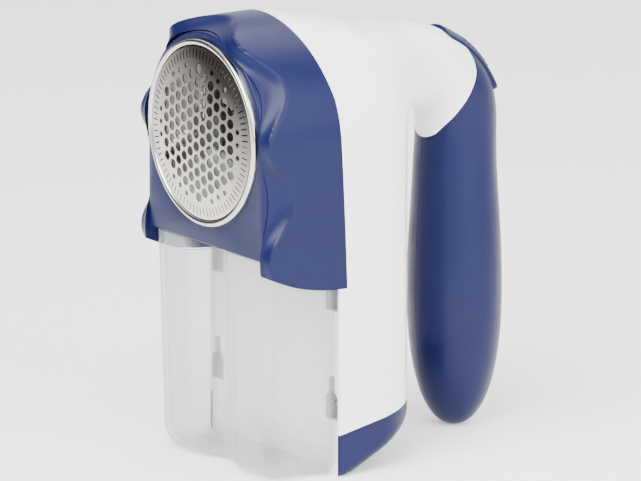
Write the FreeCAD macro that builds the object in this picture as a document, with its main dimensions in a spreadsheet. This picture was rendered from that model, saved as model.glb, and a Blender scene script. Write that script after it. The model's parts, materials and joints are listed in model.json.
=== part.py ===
"""A battery fabric shaver: an arch-topped shaving head over a clear lint bin, a white body with two
C cells, and a hanging handle with the power slider on its shoulder.

Row frame, millimetres: +Z up, the head faces -Y, X across. The object stands on Z = 0.
Depths are measured backwards from the face of the foil cover, which lies at Y = face_y.
"""
import FreeCAD, Part
import math
import os
import Sketcher
from FreeCAD import Placement, Rotation, Vector

# alias, value (millimetres, degrees or a count), what it is
SIZES = (
    ("face_y", -52.9, "Y of the foil cover's face"),
    # head
    ("head_radius", 35.3, "outer radius of the arch, and half the head's width"),
    ("head_z", 105.0, "height of the cutter axis"),
    ("hood_lip", 1.7, "how far the hood's lobes stand in front of the cover's face"),
    ("hood_wall", 2.2, "hood wall behind the finger scoops"),
    ("hood_grip_wall", 3.9, "hood wall at the finger scoops"),
    ("hood_grip_depth", 12.5, "depth of the thicker wall"),
    ("hood_top_depth", 25.5, "depth of the hood's back edge at the top"),
    ("hood_low_depth", 28.3, "depth of the hood's back edge at the bottom"),
    ("hood_front_z", 66.5, "height of the hood's lower edge at the front"),
    ("hood_back_z", 59.3, "height of the hood's lower edge at the back"),
    ("hood_edge_round", 1.2, "rounding of the hood's front edge"),
    ("scoop_radius", 20.4, "radius of the ball that cuts a finger scoop"),
    ("scoop_bite", 4.0, "how deep a scoop cuts into the hood"),
    ("scoop_angle", 31.0, "angle of the upper side scoops above the cutter axis"),
    ("scoop_low_z", 88.0, "height of the lower side scoops"),
    # foil cover and foil
    ("cover_gap", 0.3, "clearance between cover and hood"),
    ("cover_sheet", 2.5, "thickness of the cover's face"),
    ("cover_wall", 1.8, "thickness of the cover's skirt"),
    ("cover_skirt", 9.0, "depth of the cover with its skirt"),
    ("cover_bottom_z", 70.0, "height of the cover's lower edge"),
    ("foil_radius", 26.75, "outer radius of the foil's cup"),
    ("foil_sheet", 0.35, "thickness of the foil"),
    ("foil_stand", 1.5, "how far the dome's edge stands in front of the cover"),
    ("foil_dome", 1.8, "rise of the dome"),
    ("foil_flange", 1.8, "width of the flange behind the cover"),
    ("foil_gap", 0.25, "clearance round the foil's cup"),
    ("rim_width", 2.0, "width of the bright rim"),
    ("rim_proud", 2.0, "height of the bright rim"),
    ("hole_pitch", 4.0, "distance between neighbouring foil holes"),
    ("hole_radius", 1.5, "radius of a foil hole"),
    ("small_hole_radius", 0.9, "radius of the outermost foil holes"),
    ("slit_count", 72.0, "number of radial slits"),
    ("slit_width", 0.4, "width of a slit"),
    ("slit_start", 23.1, "inner radius of the slits"),
    ("slit_length", 2.6, "length of a slit"),
    # cutter, its drive and the chamber round it
    ("chamber_radius", 26.6, "inner radius of the cutter chamber"),
    ("chamber_wall", 1.8, "wall of the chamber"),
    ("chamber_front", 3.4, "depth of the chamber's front edge"),
    ("chamber_back", 15.0, "depth of the chamber's back wall"),
    ("chute_half_width", 16.0, "half the width of the lint chute"),
    ("floor_z", 70.6, "height of the floor over the lint bin"),
    ("shaft_radius", 1.0, "motor shaft"),
    ("running_gap", 0.05, "clearance of the shaft in its bushings"),
    ("shaft_hole_radius", 4.0, "hole for the motor's boss"),
    ("blade_reach", 24.6, "outer end of a blade"),
    ("blade_start", 5.5, "inner end of a blade"),
    ("blade_sheet", 0.6, "thickness of a blade"),
    ("blade_gap", 0.35, "clearance between blades and foil"),
    ("blade_tilt", 25.0, "lean of a blade against the cutter axis"),
    ("hub_radius", 8.5, "cutter hub"),
    ("hub_front", 0.6, "depth of the hub's front"),
    ("hub_back", 6.4, "depth of the hub's back"),
    ("arm_width", 6.0, "width of a cutter arm"),
    ("arm_front", 2.0, "depth of the front of the cutter arms"),
    ("arm_sheet", 2.4, "thickness of the cutter arms"),
    ("dog_flats", 6.0, "width across the flats of the drive dog"),
    ("dog_gap", 0.2, "clearance of the drive dog in the hub, each side"),
    ("dog_front", 1.8, "depth of the drive dog's front"),
    ("dog_back", 13.6, "depth of the drive dog's back"),
    ("dog_collar", 1.4, "thickness of the collar that carries the spring"),
    ("float_travel", 1.0, "how far the cutter can be pushed back"),
    ("spring_wire", 0.5, "wire of the cutter spring"),
    ("spring_radius", 4.6, "mean radius of the cutter spring"),
    # motor
    ("motor_radius", 12.0, "radius of the motor can"),
    ("motor_flat", 10.0, "half the height of the motor can over its flats"),
    ("motor_can", 26.0, "length of the motor can"),
    ("motor_sheet", 0.8, "wall of the motor can"),
    ("endcap_length", 3.0, "length of the motor's end cap"),
    ("armature_radius", 7.4, "armature"),
    ("magnet_sheet", 2.6, "thickness of the magnets"),
    ("motor_screw_spacing", 16.0, "distance between the two motor screws"),
    # body
    ("wall", 2.0, "wall of the body, the handle and the base cap"),
    ("column_front", 25.5, "depth of the body's front wall"),
    ("column_back", 59.5, "depth of the body's back"),
    ("column_corner", 19.0, "rounding of the body's back corners"),
    ("column_top_back_z", 134.0, "height of the body's top at its back"),
    ("tail_start", 30.0, "depth at which the underside begins to rise"),
    ("tail_rise", 14.5, "rise of the underside at the back"),
    ("cap_front_z", 12.8, "height of the base cap at the front"),
    ("cap_back_z", 19.8, "height of the base cap at the back"),
    ("apron_half", 34.3, "half width of the body's front wall between the cap's sides"),
    ("cap_gap", 0.2, "parting line between the base cap and the body"),
    ("slot_x", 31.0, "distance of the bin slots from the middle"),
    ("slot_low_z", 17.6, "foot of the lower bin slots"),
    ("slot_rise", 34.2, "distance from the lower to the upper slots"),
    ("slot_wide", 6.4, "width of a slot's foot"),
    ("slot_wide_height", 7.2, "height of a slot's foot"),
    ("slot_narrow", 2.9, "width of a slot's neck"),
    ("slot_height", 13.6, "height of a whole slot"),
    # handle
    ("grip_y", 93.6, "depth of the handle's middle"),
    ("grip_radius", 14.9, "handle radius at its thickest"),
    ("grip_thick_z", 44.4, "height of the handle's thickest place"),
    ("grip_top_radius", 12.8, "handle radius under the neck"),
    ("grip_tip_radius", 4.2, "flat at the handle's tip"),
    ("neck_z", 117.5, "height of the neck's middle"),
    # power slider
    ("shoulder_y", 70.4, "depth of the shoulder's centre of curvature"),
    ("shoulder_z", 91.8, "height of the shoulder's centre of curvature"),
    ("slider_radius", 39.4, "inner radius of the power slider"),
    ("slider_sheet", 2.0, "thickness of the power slider"),
    ("slider_gap", 0.3, "clearance of the slider on the shoulder"),
    ("slider_start", 21.0, "angle of the slider's lower end"),
    ("slider_span", 41.0, "angle that the slider covers"),
    ("slider_width", 15.0, "width of the power slider"),
    ("slider_travel", 7.0, "angle that the slider moves through"),
    ("stem_start", 37.0, "angle of the stem's lower side"),
    ("stem_span", 6.0, "angle that the stem covers"),
    ("stem_width", 4.0, "width of the stem"),
    ("stem_gap", 0.5, "clearance of the stem in its slot, each side"),
    ("switch_radius", 33.0, "outer radius of the switch's seat"),
    ("switch_height", 6.0, "height of the switch"),
    ("switch_length", 14.0, "length of the switch"),
    ("switch_width", 8.0, "width of the switch"),
    # lint bin
    ("bin_gap", 0.4, "clearance round the lint bin"),
    ("bin_front", 0.5, "depth of the bin's front"),
    ("bin_front_half", 31.0, "half the bin's width at the front"),
    ("bin_back_half", 34.8, "half the bin's width at the back"),
    ("bin_wall", 1.6, "wall of the bin"),
    ("bin_round", 6.5, "rounding of the bin's corners"),
    ("flute_radius", 15.0, "radius of the flute in the bin's front"),
    ("flute_bite", 5.5, "depth of the flute at the bin's foot"),
    ("lug_length", 4.0, "how far the bin's lugs reach into the slots"),
    ("lug_height", 4.6, "height of a lug"),
    # cells and contacts
    ("cell_radius", 12.8, "C cell"),
    ("cell_length", 48.0, "C cell without its nub"),
    ("cell_nub", 1.5, "height of the nub"),
    ("cell_nub_radius", 3.2, "radius of the nub"),
    ("cell_x", 13.3, "distance of a cell from the middle"),
    ("cell_depth", 43.6, "depth of the cells' middle"),
    ("cell_z", 19.5, "foot of the cells"),
    ("contact_sheet", 0.4, "thickness of the contacts"),
    ("leaf_sheet", 0.5, "thickness of the contact leaf springs"),
    ("leaf_reach", 6.0, "half length of the contact leaf springs"),
    ("leaf_width", 5.0, "width of the contact leaf springs"),
    ("roof_sheet", 2.0, "thickness of the battery bay's roof"),
    # screws and leads
    ("screw_radius", 1.2, "shank of the case screws"),
    ("screw_head_radius", 2.5, "head of the case screws"),
    ("screw_head", 1.8, "height of a case screw's head"),
    ("boss_radius", 3.6, "screw bosses"),
    ("screw_gap", 0.05, "clearance of a screw in its boss"),
    ("lead_radius", 0.7, "radius of the wires"),
)

doc = FreeCAD.newDocument("fabric_shaver")
sheet = doc.addObject("Spreadsheet::Sheet", "Dim")
for row, (alias, number, meaning) in enumerate(SIZES, start=1):
    sheet.set(f"A{row}", meaning)
    sheet.set(f"B{row}", str(number))
    sheet.setAlias(f"B{row}", alias)
doc.recompute()

ALONG = {"x": Rotation(Vector(1, 1, 1), 120), "y": Rotation(Vector(1, 0, 0), -90), "z": Rotation()}
HEAD_Z = "Dim.head_z"
nodes = {}


# ---- small helpers -------------------------------------------------------------------------------
def size(alias):
    """The number in a named cell."""
    return float(sheet.get(alias))


def value(formula):
    """What a formula of named cells comes to."""
    return float(sheet.evalExpression(formula))


def depth(formula):
    """A depth behind the cover's face as a Y coordinate."""
    return f"Dim.face_y + {formula}"


def new(kind, name):
    return doc.addObject(kind, name)


def bind(item, **formulas):
    for prop, formula in formulas.items():
        item.setExpression(prop, formula)
    return item


def place(item, x, y, z, turn=None):
    item.Placement = Placement(Vector(), turn or Rotation())
    for axis, formula in (("x", x), ("y", y), ("z", z)):
        item.setExpression(f"Placement.Base.{axis}", formula)
    return item


def block(name, x, y, z, across, back, up, turn=None):
    """A box from a corner; its sides run along X, Y and Z."""
    box = bind(new("Part::Box", name), Length=across, Width=back, Height=up)
    return place(box, x, y, z, turn)


def rod(name, axis, radius, length, x, y, z):
    """A cylinder that starts at a point and runs along +X, +Y or +Z."""
    cylinder = bind(new("Part::Cylinder", name), Radius=radius, Height=length)
    return place(cylinder, x, y, z, ALONG[axis])


def sector(name, radius, start, span, width):
    """A pie slice across the object, round the shoulder's centre, from an angle above +Y."""
    pie = bind(new("Part::Cylinder", name), Radius=radius, Height=width, Angle=span)
    turn = Rotation(Vector(1, 0, 0), value(start)).multiply(ALONG["x"])
    return place(pie, f"-({width}) / 2", depth("Dim.shoulder_y"), "Dim.shoulder_z", turn)


def compound(name, shapes):
    item = new("Part::Compound", name)
    item.Links = list(shapes)
    return item


def fuse(name, *shapes):
    item = new("Part::MultiFuse", name)
    item.Shapes = list(shapes)
    return item


def common(name, *shapes):
    item = new("Part::MultiCommon", name)
    item.Shapes = list(shapes)
    return item


def cut(name, base, *tools):
    item = new("Part::Cut", name)
    item.Base = base
    item.Tool = tools[0] if len(tools) == 1 else compound(name + "_tools", tools)
    return item


def tube(name, axis, outer, inner, length, x, y, z):
    return cut(
        name,
        rod(name + "_outside", axis, outer, length, x, y, z),
        rod(name + "_bore", axis, inner, length, x, y, z),
    )


def outline(name, corners, turn, lift="0"):
    """A closed sketch of straight lines whose corners are pairs of formulas."""
    sketch = new("Sketcher::SketchObject", name)
    spots = [Vector(value(u), value(v), 0) for u, v in corners]
    count = len(spots)
    for i in range(count):
        sketch.addGeometry(Part.LineSegment(spots[i], spots[(i + 1) % count]))
    for i, (u, v) in enumerate(corners):
        sketch.addConstraint(Sketcher.Constraint("Coincident", i, 2, (i + 1) % count, 1))
        for kind, formula, number in (("DistanceX", u, spots[i].x), ("DistanceY", v, spots[i].y)):
            index = sketch.addConstraint(Sketcher.Constraint(kind, -1, 1, i, 1, number))
            sketch.setExpression(f"Constraints[{index}]", formula)
    lifted = {"x": (lift, "0", "0"), "z": ("0", "0", lift)}["x" if turn is ALONG["x"] else "z"]
    return place(sketch, *lifted, turn)


def prism(name, sketch, direction, length, both_ways=False):
    solid = new("Part::Extrusion", name)
    solid.Base = sketch
    solid.DirMode = "Custom"
    solid.Dir = direction
    solid.Solid = True
    solid.Symmetric = both_ways
    return bind(solid, LengthFwd=length)


def side_prism(name, corners, width="4 * Dim.head_radius"):
    """A block across the object whose side view has the given (Y, Z) corners."""
    return prism(name, outline(name + "_outline", corners, ALONG["x"]), Vector(1, 0, 0), width, True)


def plan_prism(name, corners, foot, height):
    """An upright block whose plan has the given (X, Y) corners."""
    return prism(name, outline(name + "_outline", corners, ALONG["z"], foot), Vector(0, 0, 1), height)


def arch(name, radius, foot, start, length):
    """A slab with a round top and straight sides: the head's outline, from a height to the arch."""
    return fuse(
        name,
        rod(name + "_round", "y", radius, length, "0", start, HEAD_Z),
        block(
            name + "_sides",
            f"-({radius})",
            start,
            foot,
            f"2 * ({radius})",
            length,
            f"{HEAD_Z} - ({foot})",
        ),
    )


def rounded(name, base, radius, wanted):
    """Rounds those edges of a recomputed object for which wanted(edge) is true."""
    doc.recompute()
    item = new("Part::Fillet", name)
    item.Base = base
    item.Edges = [(i, radius, radius) for i, edge in enumerate(base.Shape.Edges, 1) if wanted(edge)]
    return item


def node(label, item):
    """Keeps an object as one of the finished sub-parts."""
    item.Label = label
    nodes[label] = item
    return item


def near(a, b, slack=0.01):
    return abs(a - b) < slack


# ---- the outer form: body column, neck and handle --------------------------------------------------
def column(name, inset):
    """The body column, or its inside when it is made smaller by a wall."""
    half = f"(Dim.head_radius - {inset})"
    front = depth(f"Dim.column_front + {inset}")
    back = depth(f"Dim.column_back - {inset}")
    sections = []
    for tag, y, half_width, top in (
        ("front", front, half, f"{HEAD_Z} + Dim.head_radius - {inset}"),
        ("back", back, half, f"Dim.column_top_back_z - {inset}"),
    ):
        sections.append(arch_outline(f"{name}_{tag}", y, half_width, top, inset))
    loft = new("Part::Loft", name + "_loft")
    loft.Sections = sections
    loft.Solid = True
    loft.Ruled = True
    soft = rounded(
        name + "_soft",
        loft,
        size("column_corner") - value(inset),
        lambda edge: edge.BoundBox.YLength < 0.01
        and near(edge.BoundBox.YMin, value(back))
        and edge.BoundBox.ZMax > size("column_corner"),
    )
    foot, rise = depth("Dim.tail_start"), f"Dim.tail_rise + 1.1 * {inset}"
    behind = depth("Dim.column_back + 1")
    tail = side_prism(
        name + "_tail",
        ((f"{front} - 1", "-1"), (f"{front} - 1", inset), (foot, inset), (behind, rise), (behind, "-1")),
    )
    return cut(name, soft, tail)


def arch_outline(name, y, half_width, top, foot):
    """The sketch of an arch: a half circle on two straight sides."""
    sketch = new("Sketcher::SketchObject", name)
    half, crown, low = value(half_width), value(top), value(foot)
    spring = crown - half
    circle = Part.Circle(Vector(0, spring, 0), Vector(0, 0, 1), half)
    sketch.addGeometry(Part.ArcOfCircle(circle, 0, math.pi))
    corners = [(-half, spring), (-half, low), (half, low), (half, spring)]
    for a, b in zip(corners, corners[1:]):
        sketch.addGeometry(Part.LineSegment(Vector(*a, 0), Vector(*b, 0)))
    for first, start, second, end in ((0, 2, 1, 1), (1, 2, 2, 1), (2, 2, 3, 1), (3, 2, 0, 1)):
        sketch.addConstraint(Sketcher.Constraint("Coincident", first, start, second, end))
    sketch.addConstraint(Sketcher.Constraint("PointOnObject", 0, 3, -2))
    sketch.addConstraint(Sketcher.Constraint("Vertical", 1))
    sketch.addConstraint(Sketcher.Constraint("Horizontal", 2))
    sketch.addConstraint(Sketcher.Constraint("Vertical", 3))
    sketch.addConstraint(Sketcher.Constraint("Horizontal", 0, 3, 0, 1))
    for constraint, formula in (
        (Sketcher.Constraint("Radius", 0, half), half_width),
        (Sketcher.Constraint("DistanceY", -1, 1, 0, 3, spring), f"{top} - {half_width}"),
        (Sketcher.Constraint("DistanceY", -1, 1, 1, 2, low), foot),
    ):
        index = sketch.addConstraint(constraint)
        sketch.setExpression(f"Constraints[{index}]", formula)
    return place(sketch, "0", y, "0", Rotation(Vector(1, 0, 0), 90))


def grip(name, inset):
    """The neck and the handle as one smooth loft, or its inside when it is smaller by a wall."""
    y, neck, thick_z = "Dim.grip_y", "Dim.neck_z", "Dim.grip_thick_z"
    thick, upper = "Dim.grip_radius", "Dim.grip_top_radius"
    rings = (  # depth, height, heading of the loft there, half width, half height
        ("Dim.column_back - 22", f"{neck} + 0.4", 0, "2.01 * Dim.grip_radius", "1.25 * Dim.grip_radius"),
        ("Dim.column_back - 14", f"{neck} + 0.3", 0, "1.97 * Dim.grip_radius", "1.21 * Dim.grip_radius"),
        ("Dim.column_back - 2", f"{neck} + 0.1", 0, "1.65 * Dim.grip_radius", "1.11 * Dim.grip_radius"),
        ("Dim.column_back + 9", neck, -2, "1.2 * Dim.grip_radius", "0.98 * Dim.grip_radius"),
        (f"{y} - 15.6", f"{neck} - 0.5", -8, f"{upper} + 1.7", f"{upper} + 0.1"),
        (f"{y} - 6.6", f"{neck} - 4.5", -27, f"{upper} + 1", f"{upper} - 0.6"),
        (f"{y} - 1", f"{neck} - 12.5", -63, f"{upper} + 0.5", f"{upper} + 0.1"),
        (f"{y} + 0.2", f"{neck} - 22.5", -87, upper, upper),
        (y, f"{thick_z} + 38", -90, f"{thick} - 1.7", f"{thick} - 1.7"),
        (y, f"{thick_z} + 24", -90, f"{thick} - 0.9", f"{thick} - 0.9"),
        (y, f"{thick_z} + 11", -90, f"{thick} - 0.2", f"{thick} - 0.2"),
        (y, f"{thick_z} - 2", -90, thick, thick),
        (y, f"{thick_z} - 14", -90, f"{thick} - 0.6", f"{thick} - 0.6"),
        (y, f"{thick_z} - 25", -90, f"{thick} - 1.8", f"{thick} - 1.8"),
        (y, f"{thick_z} - 34", -90, f"{thick} - 4.3", f"{thick} - 4.3"),
        (y, f"{thick_z} - 40", -90, f"{thick} - 7.4", f"{thick} - 7.4"),
        (y, inset, -90, "Dim.grip_tip_radius", "Dim.grip_tip_radius"),
    )
    sections = []
    for i, (back, height, heading, half_width, half_height) in enumerate(rings):
        ring = new("Part::Ellipse", f"{name}_ring_{i:02d}")
        bind(ring, MajorRadius=f"{half_width} - {inset}", MinorRadius=f"{half_height} - {inset}")
        sections.append(place(ring, "0", depth(back), height, Rotation(Vector(1, 0, 0), heading - 90)))
    loft = new("Part::Loft", name)
    loft.Sections = sections
    loft.Solid = True
    loft.MaxDegree = 3
    return loft


def body(name, inset):
    return fuse(name, column(name + "_column", inset), grip(name + "_grip", inset))


body_outside = body("body_outside", "0")
body_inside = body("body_inside", "Dim.wall")
boss_limit = body("boss_limit", "(Dim.wall / 2)")
body_shell = cut("body_shell", body_outside, body_inside)

far_back = "Dim.grip_y + 3 * Dim.grip_radius"
handle_zone = side_prism(
    "handle_zone",
    (
        (depth("Dim.grip_y - 1.6 * Dim.grip_radius"), "-1"),
        (depth(far_back), "-1"),
        (depth(far_back), "Dim.neck_z + 15"),
        (depth("Dim.grip_y - 8"), "Dim.neck_z + 15"),
        (depth("Dim.grip_y - 8"), "Dim.neck_z + 12.5"),
        (depth("Dim.grip_y - 0.4"), "Dim.neck_z + 4"),
        (depth("Dim.grip_y - 0.4"), "Dim.neck_z - 2.5"),
        (depth("Dim.grip_y - 1.6 * Dim.grip_radius"), "Dim.neck_z - 43"),
    ),
)


def cap_zone(name, raised):
    """Everything below the slanted upper edge of the base cap, but for the body's front wall."""
    front, back = depth("Dim.column_front - 1"), depth("Dim.column_back + 1")
    upper = ((back, f"Dim.cap_back_z + {raised}"), (front, f"Dim.cap_front_z + {raised}"))
    apron = block(
        name + "_apron",
        f"{raised} - Dim.apron_half",
        depth("Dim.column_front - 2"),
        "-2",
        f"2 * (Dim.apron_half - {raised})",
        f"2 + Dim.wall + Dim.cap_gap - {raised}",
        "Dim.cap_back_z + 5",
    )
    return cut(name, side_prism(name + "_wedge", ((front, "-1"), (back, "-1"), *upper)), apron)


def hood_side(name, gap):
    """The hood's side view, which also clears the body and the bin when it is made larger by a gap."""
    low = f"Dim.hood_back_z - {gap}"
    front = depth(f"-Dim.hood_lip - {gap}")
    drop = "(Dim.hood_front_z - Dim.hood_back_z)"
    span = "(Dim.hood_low_depth + Dim.hood_lip)"
    return side_prism(
        name,
        (
            (front, f"Dim.hood_front_z - {gap}"),
            (depth(f"0.35 * {span} - Dim.hood_lip"), f"{low} + 0.38 * {drop}"),
            (depth(f"0.7 * {span} - Dim.hood_lip"), f"{low} + 0.07 * {drop}"),
            (depth(f"Dim.hood_low_depth + {gap}"), low),
            (depth(f"Dim.hood_top_depth + {gap}"), f"{HEAD_Z} + 0.2 * Dim.head_radius"),
            (depth(f"Dim.hood_top_depth + {gap}"), f"{HEAD_Z} + 1.2 * Dim.head_radius"),
            (front, f"{HEAD_Z} + 1.2 * Dim.head_radius"),
        ),
    )


# ---- screws and their bosses -------------------------------------------------------------------------
# depth, height, half width of the case there, as formulas
BODY_SCREWS = (
    ("Dim.column_front + 8", "Dim.floor_z + 8", "Dim.head_radius"),
    ("Dim.column_back - 8.5", "Dim.floor_z + 8", "Dim.head_radius - 4.5"),
    ("Dim.column_front + 10", "Dim.head_z + 22", "Dim.head_radius - 9.6"),
)
HANDLE_SCREWS = (
    ("Dim.grip_y + 4.6", "0.6 * Dim.grip_thick_z", "Dim.grip_radius - 1.6"),
    ("Dim.grip_y + 4.6", "1.9 * Dim.grip_thick_z", "Dim.grip_radius - 2.6"),
)


def bosses(name, spots):
    """Bosses across the case, ending inside its walls."""
    rods = [
        rod(f"{name}_{i}", "x", "Dim.boss_radius", f"2 * ({half})", f"-({half})", depth(back), z)
        for i, (back, z, half) in enumerate(spots)
    ]
    return common(name, boss_limit, compound(name + "_rods", rods))


def bores(name, spots):
    """The holes for the screws and the wells for their heads, in the left side."""
    holes = []
    for i, (back, z, half) in enumerate(spots):
        y = depth(back)
        seat = f"-({half}) + 3 * Dim.screw_head"
        holes += [
            rod(
                f"{name}_{i}",
                "x",
                "Dim.screw_radius + Dim.screw_gap",
                f"{half} + Dim.boss_radius",
                f"-({half})",
                y,
                z,
            ),
            rod(
                f"{name}_well_{i}",
                "x",
                "Dim.screw_head_radius + Dim.screw_gap",
                "6 * Dim.screw_head",
                f"{seat} - 6 * Dim.screw_head",
                y,
                z,
            ),
        ]
    return compound(name, holes)


def screws(label, spots):
    """The screws themselves, each a head with a cross recess and a shank."""
    solids = []
    for i, (back, z, half) in enumerate(spots):
        y = depth(back)
        seat = f"-({half}) + 3 * Dim.screw_head"
        head = f"{seat} - Dim.screw_head"
        recess = "0.3 * Dim.screw_head_radius"
        reach = "1.1 * Dim.screw_head_radius"
        solids.append(
            cut(
                f"{label}_{i}",
                fuse(
                    f"{label}_{i}_blank",
                    rod(f"{label}_{i}_head", "x", "Dim.screw_head_radius", "Dim.screw_head", head, y, z),
                    rod(
                        f"{label}_{i}_shank",
                        "x",
                        "Dim.screw_radius",
                        f"{half} - 3 * Dim.screw_head + Dim.boss_radius - 1",
                        seat,
                        y,
                        z,
                    ),
                ),
                fuse(
                    f"{label}_{i}_cross",
                    block(
                        f"{label}_{i}_slot",
                        head,
                        f"{y} - {reach} / 2",
                        f"{z} - {recess} / 2",
                        "Dim.screw_head / 2",
                        reach,
                        recess,
                    ),
                    block(
                        f"{label}_{i}_bar",
                        head,
                        f"{y} - {recess} / 2",
                        f"{z} - {reach} / 2",
                        "Dim.screw_head / 2",
                        recess,
                        reach,
                    ),
                ),
            )
        )
    return node(label, compound(label, solids))


def halves(label, solid, holes):
    """A case part as its left (-X) half and the mirror image of that half, both drilled."""
    wide = "2 * Dim.head_radius"
    y, z = depth("-Dim.head_radius"), "-Dim.head_radius"
    span, up = "Dim.grip_y + 4 * Dim.head_radius", "3 * Dim.head_z"
    left = common(label + "_plain", solid, block(label + "_side", f"-({wide})", y, z, wide, span, up))
    right = new("Part::Mirroring", label + "_mirrored")
    right.Source = left
    right.Normal = Vector(1, 0, 0)
    node(label + "_left", cut(label + "_left", left, holes))
    node(label + "_right", cut(label + "_right", right, holes))


# ---- white body --------------------------------------------------------------------------------------
def bin_slots():
    """Four keyhole slots in the body's front wall."""
    holes = []
    for side, sign in (("left", "-"), ("right", "")):
        for level, foot in (("low", "Dim.slot_low_z"), ("high", "Dim.slot_low_z + Dim.slot_rise")):
            x = f"{sign}Dim.slot_x"
            front = depth("Dim.column_front - 1")
            back = "Dim.wall + 2"
            holes += [
                block(
                    f"slot_{side}_{level}_foot",
                    f"{x} - Dim.slot_wide / 2",
                    front,
                    foot,
                    "Dim.slot_wide",
                    back,
                    "Dim.slot_wide_height",
                ),
                block(
                    f"slot_{side}_{level}_neck",
                    f"{x} - Dim.slot_narrow / 2",
                    front,
                    f"{foot} + Dim.slot_wide_height",
                    "Dim.slot_narrow",
                    back,
                    "Dim.slot_height - Dim.slot_wide_height",
                ),
            ]
    return compound("bin_slots", holes)


stem_slot = cut(
    "stem_slot",
    sector(
        "stem_slot_outside",
        "Dim.slider_radius + 1",
        "Dim.stem_start - 2",
        "Dim.stem_span + Dim.slider_travel + 4",
        "Dim.stem_width + 2 * Dim.stem_gap",
    ),
    sector(
        "stem_slot_inside",
        "Dim.switch_radius - 3",
        "Dim.stem_start - 2",
        "Dim.stem_span + Dim.slider_travel + 4",
        "Dim.stem_width + 2 * Dim.stem_gap",
    ),
)
slider_track = cut(
    "slider_track",
    sector(
        "slider_track_outside",
        "Dim.slider_radius + 3 * Dim.slider_sheet",
        "Dim.slider_start - 3",
        "Dim.slider_span + Dim.slider_travel + 6",
        "Dim.slider_width + 2 * Dim.slider_gap",
    ),
    sector(
        "slider_track_inside",
        "Dim.slider_radius - Dim.slider_gap",
        "Dim.slider_start - 5",
        "Dim.slider_span + Dim.slider_travel + 10",
        "2 * Dim.slider_width",
    ),
)
head_opening = arch(
    "head_opening",
    "Dim.head_radius - Dim.wall",
    "Dim.hood_back_z + 2.2",
    depth("Dim.column_front - 1"),
    "Dim.wall + 2",
)
white_body = cut(
    "white_body",
    fuse("white_blank", body_shell, bosses("body_bosses", BODY_SCREWS)),
    bin_slots(),
    head_opening,
    handle_zone,
    cap_zone("cap_room", "Dim.cap_gap"),
    hood_side("hood_room_body", "0"),
    stem_slot,
    slider_track,
)
halves("body_shell", white_body, bores("body_bores", BODY_SCREWS))
screws("body_screws", BODY_SCREWS)

# ---- handle ------------------------------------------------------------------------------------------
handle = cut(
    "handle",
    common(
        "handle_blank",
        fuse("handle_solid", body_shell, bosses("handle_bosses", HANDLE_SCREWS)),
        handle_zone,
    ),
    stem_slot,
    slider_track,
)
halves("handle", handle, bores("handle_bores", HANDLE_SCREWS))
screws("handle_screws", HANDLE_SCREWS)

# ---- base cap ----------------------------------------------------------------------------------------
node("base_cap", common("base_cap", body_shell, cap_zone("cap_zone", "0")))

# ---- hood --------------------------------------------------------------------------------------------
hood_start = depth("-Dim.hood_lip")
hood_outside = rounded(
    "hood_outside",
    arch(
        "hood_form",
        "Dim.head_radius",
        "Dim.hood_back_z",
        hood_start,
        "Dim.hood_low_depth + Dim.hood_lip",
    ),
    size("hood_edge_round"),
    lambda edge: edge.BoundBox.YLength < 0.01
    and near(edge.BoundBox.YMin, value(hood_start))
    and edge.BoundBox.ZMax > size("hood_back_z") + 1,
)
scoop_reach = "(Dim.head_radius - Dim.scoop_bite + Dim.scoop_radius)"
SCOOPS = {  # X and Z of each ball's centre
    "top": ("0", f"{HEAD_Z} + {scoop_reach}"),
    "right_high": (
        f"{scoop_reach} * cos(Dim.scoop_angle * 1 deg)",
        f"{HEAD_Z} + {scoop_reach} * sin(Dim.scoop_angle * 1 deg)",
    ),
    "left_high": (
        f"-{scoop_reach} * cos(Dim.scoop_angle * 1 deg)",
        f"{HEAD_Z} + {scoop_reach} * sin(Dim.scoop_angle * 1 deg)",
    ),
    "right_low": (scoop_reach, "Dim.scoop_low_z"),
    "left_low": (f"-{scoop_reach}", "Dim.scoop_low_z"),
}
scoops = [
    place(bind(new("Part::Sphere", f"scoop_{name}"), Radius="Dim.scoop_radius"), x, hood_start, z)
    for name, (x, z) in SCOOPS.items()
]
node(
    "hood",
    common(
        "hood",
        cut(
            "hood_carved",
            hood_outside,
            arch(
                "hood_mouth",
                "Dim.head_radius - Dim.hood_grip_wall",
                "Dim.hood_back_z - 1",
                depth("-Dim.hood_lip - 1"),
                "Dim.hood_grip_depth + Dim.hood_lip + 1.01",
            ),
            arch(
                "hood_cavity",
                "Dim.head_radius - Dim.hood_wall",
                "Dim.hood_back_z - 1",
                depth("Dim.hood_grip_depth"),
                "Dim.hood_low_depth",
            ),
            *scoops,
        ),
        hood_side("hood_side", "0"),
    ),
)

# ---- foil cover, rim and foil ------------------------------------------------------------------------
cover_radius = "(Dim.head_radius - Dim.hood_grip_wall - Dim.cover_gap)"
cover_hole = "(Dim.foil_radius + Dim.foil_gap)"
face = depth("0")
node(
    "foil_cover",
    cut(
        "foil_cover",
        arch("cover_form", cover_radius, "Dim.cover_bottom_z", face, "Dim.cover_skirt"),
        arch(
            "cover_cavity",
            f"{cover_radius} - Dim.cover_wall",
            "Dim.cover_bottom_z - 1",
            depth("Dim.cover_sheet"),
            "Dim.cover_skirt",
        ),
        rod("cover_window", "y", cover_hole, "Dim.cover_sheet + 2", "0", depth("-1"), HEAD_Z),
    ),
)
rim_start = depth("-Dim.rim_proud")
node(
    "foil_rim",
    rounded(
        "foil_rim",
        tube(
            "rim_blank",
            "y",
            f"{cover_hole} + Dim.rim_width",
            cover_hole,
            "Dim.rim_proud",
            "0",
            rim_start,
            HEAD_Z,
        ),
        0.45 * size("rim_width"),
        lambda edge: near(edge.BoundBox.YMax, value(rim_start)),
    ),
)
dome_radius = "((Dim.foil_radius ^ 2 + Dim.foil_dome ^ 2) / (2 * Dim.foil_dome))"
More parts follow.
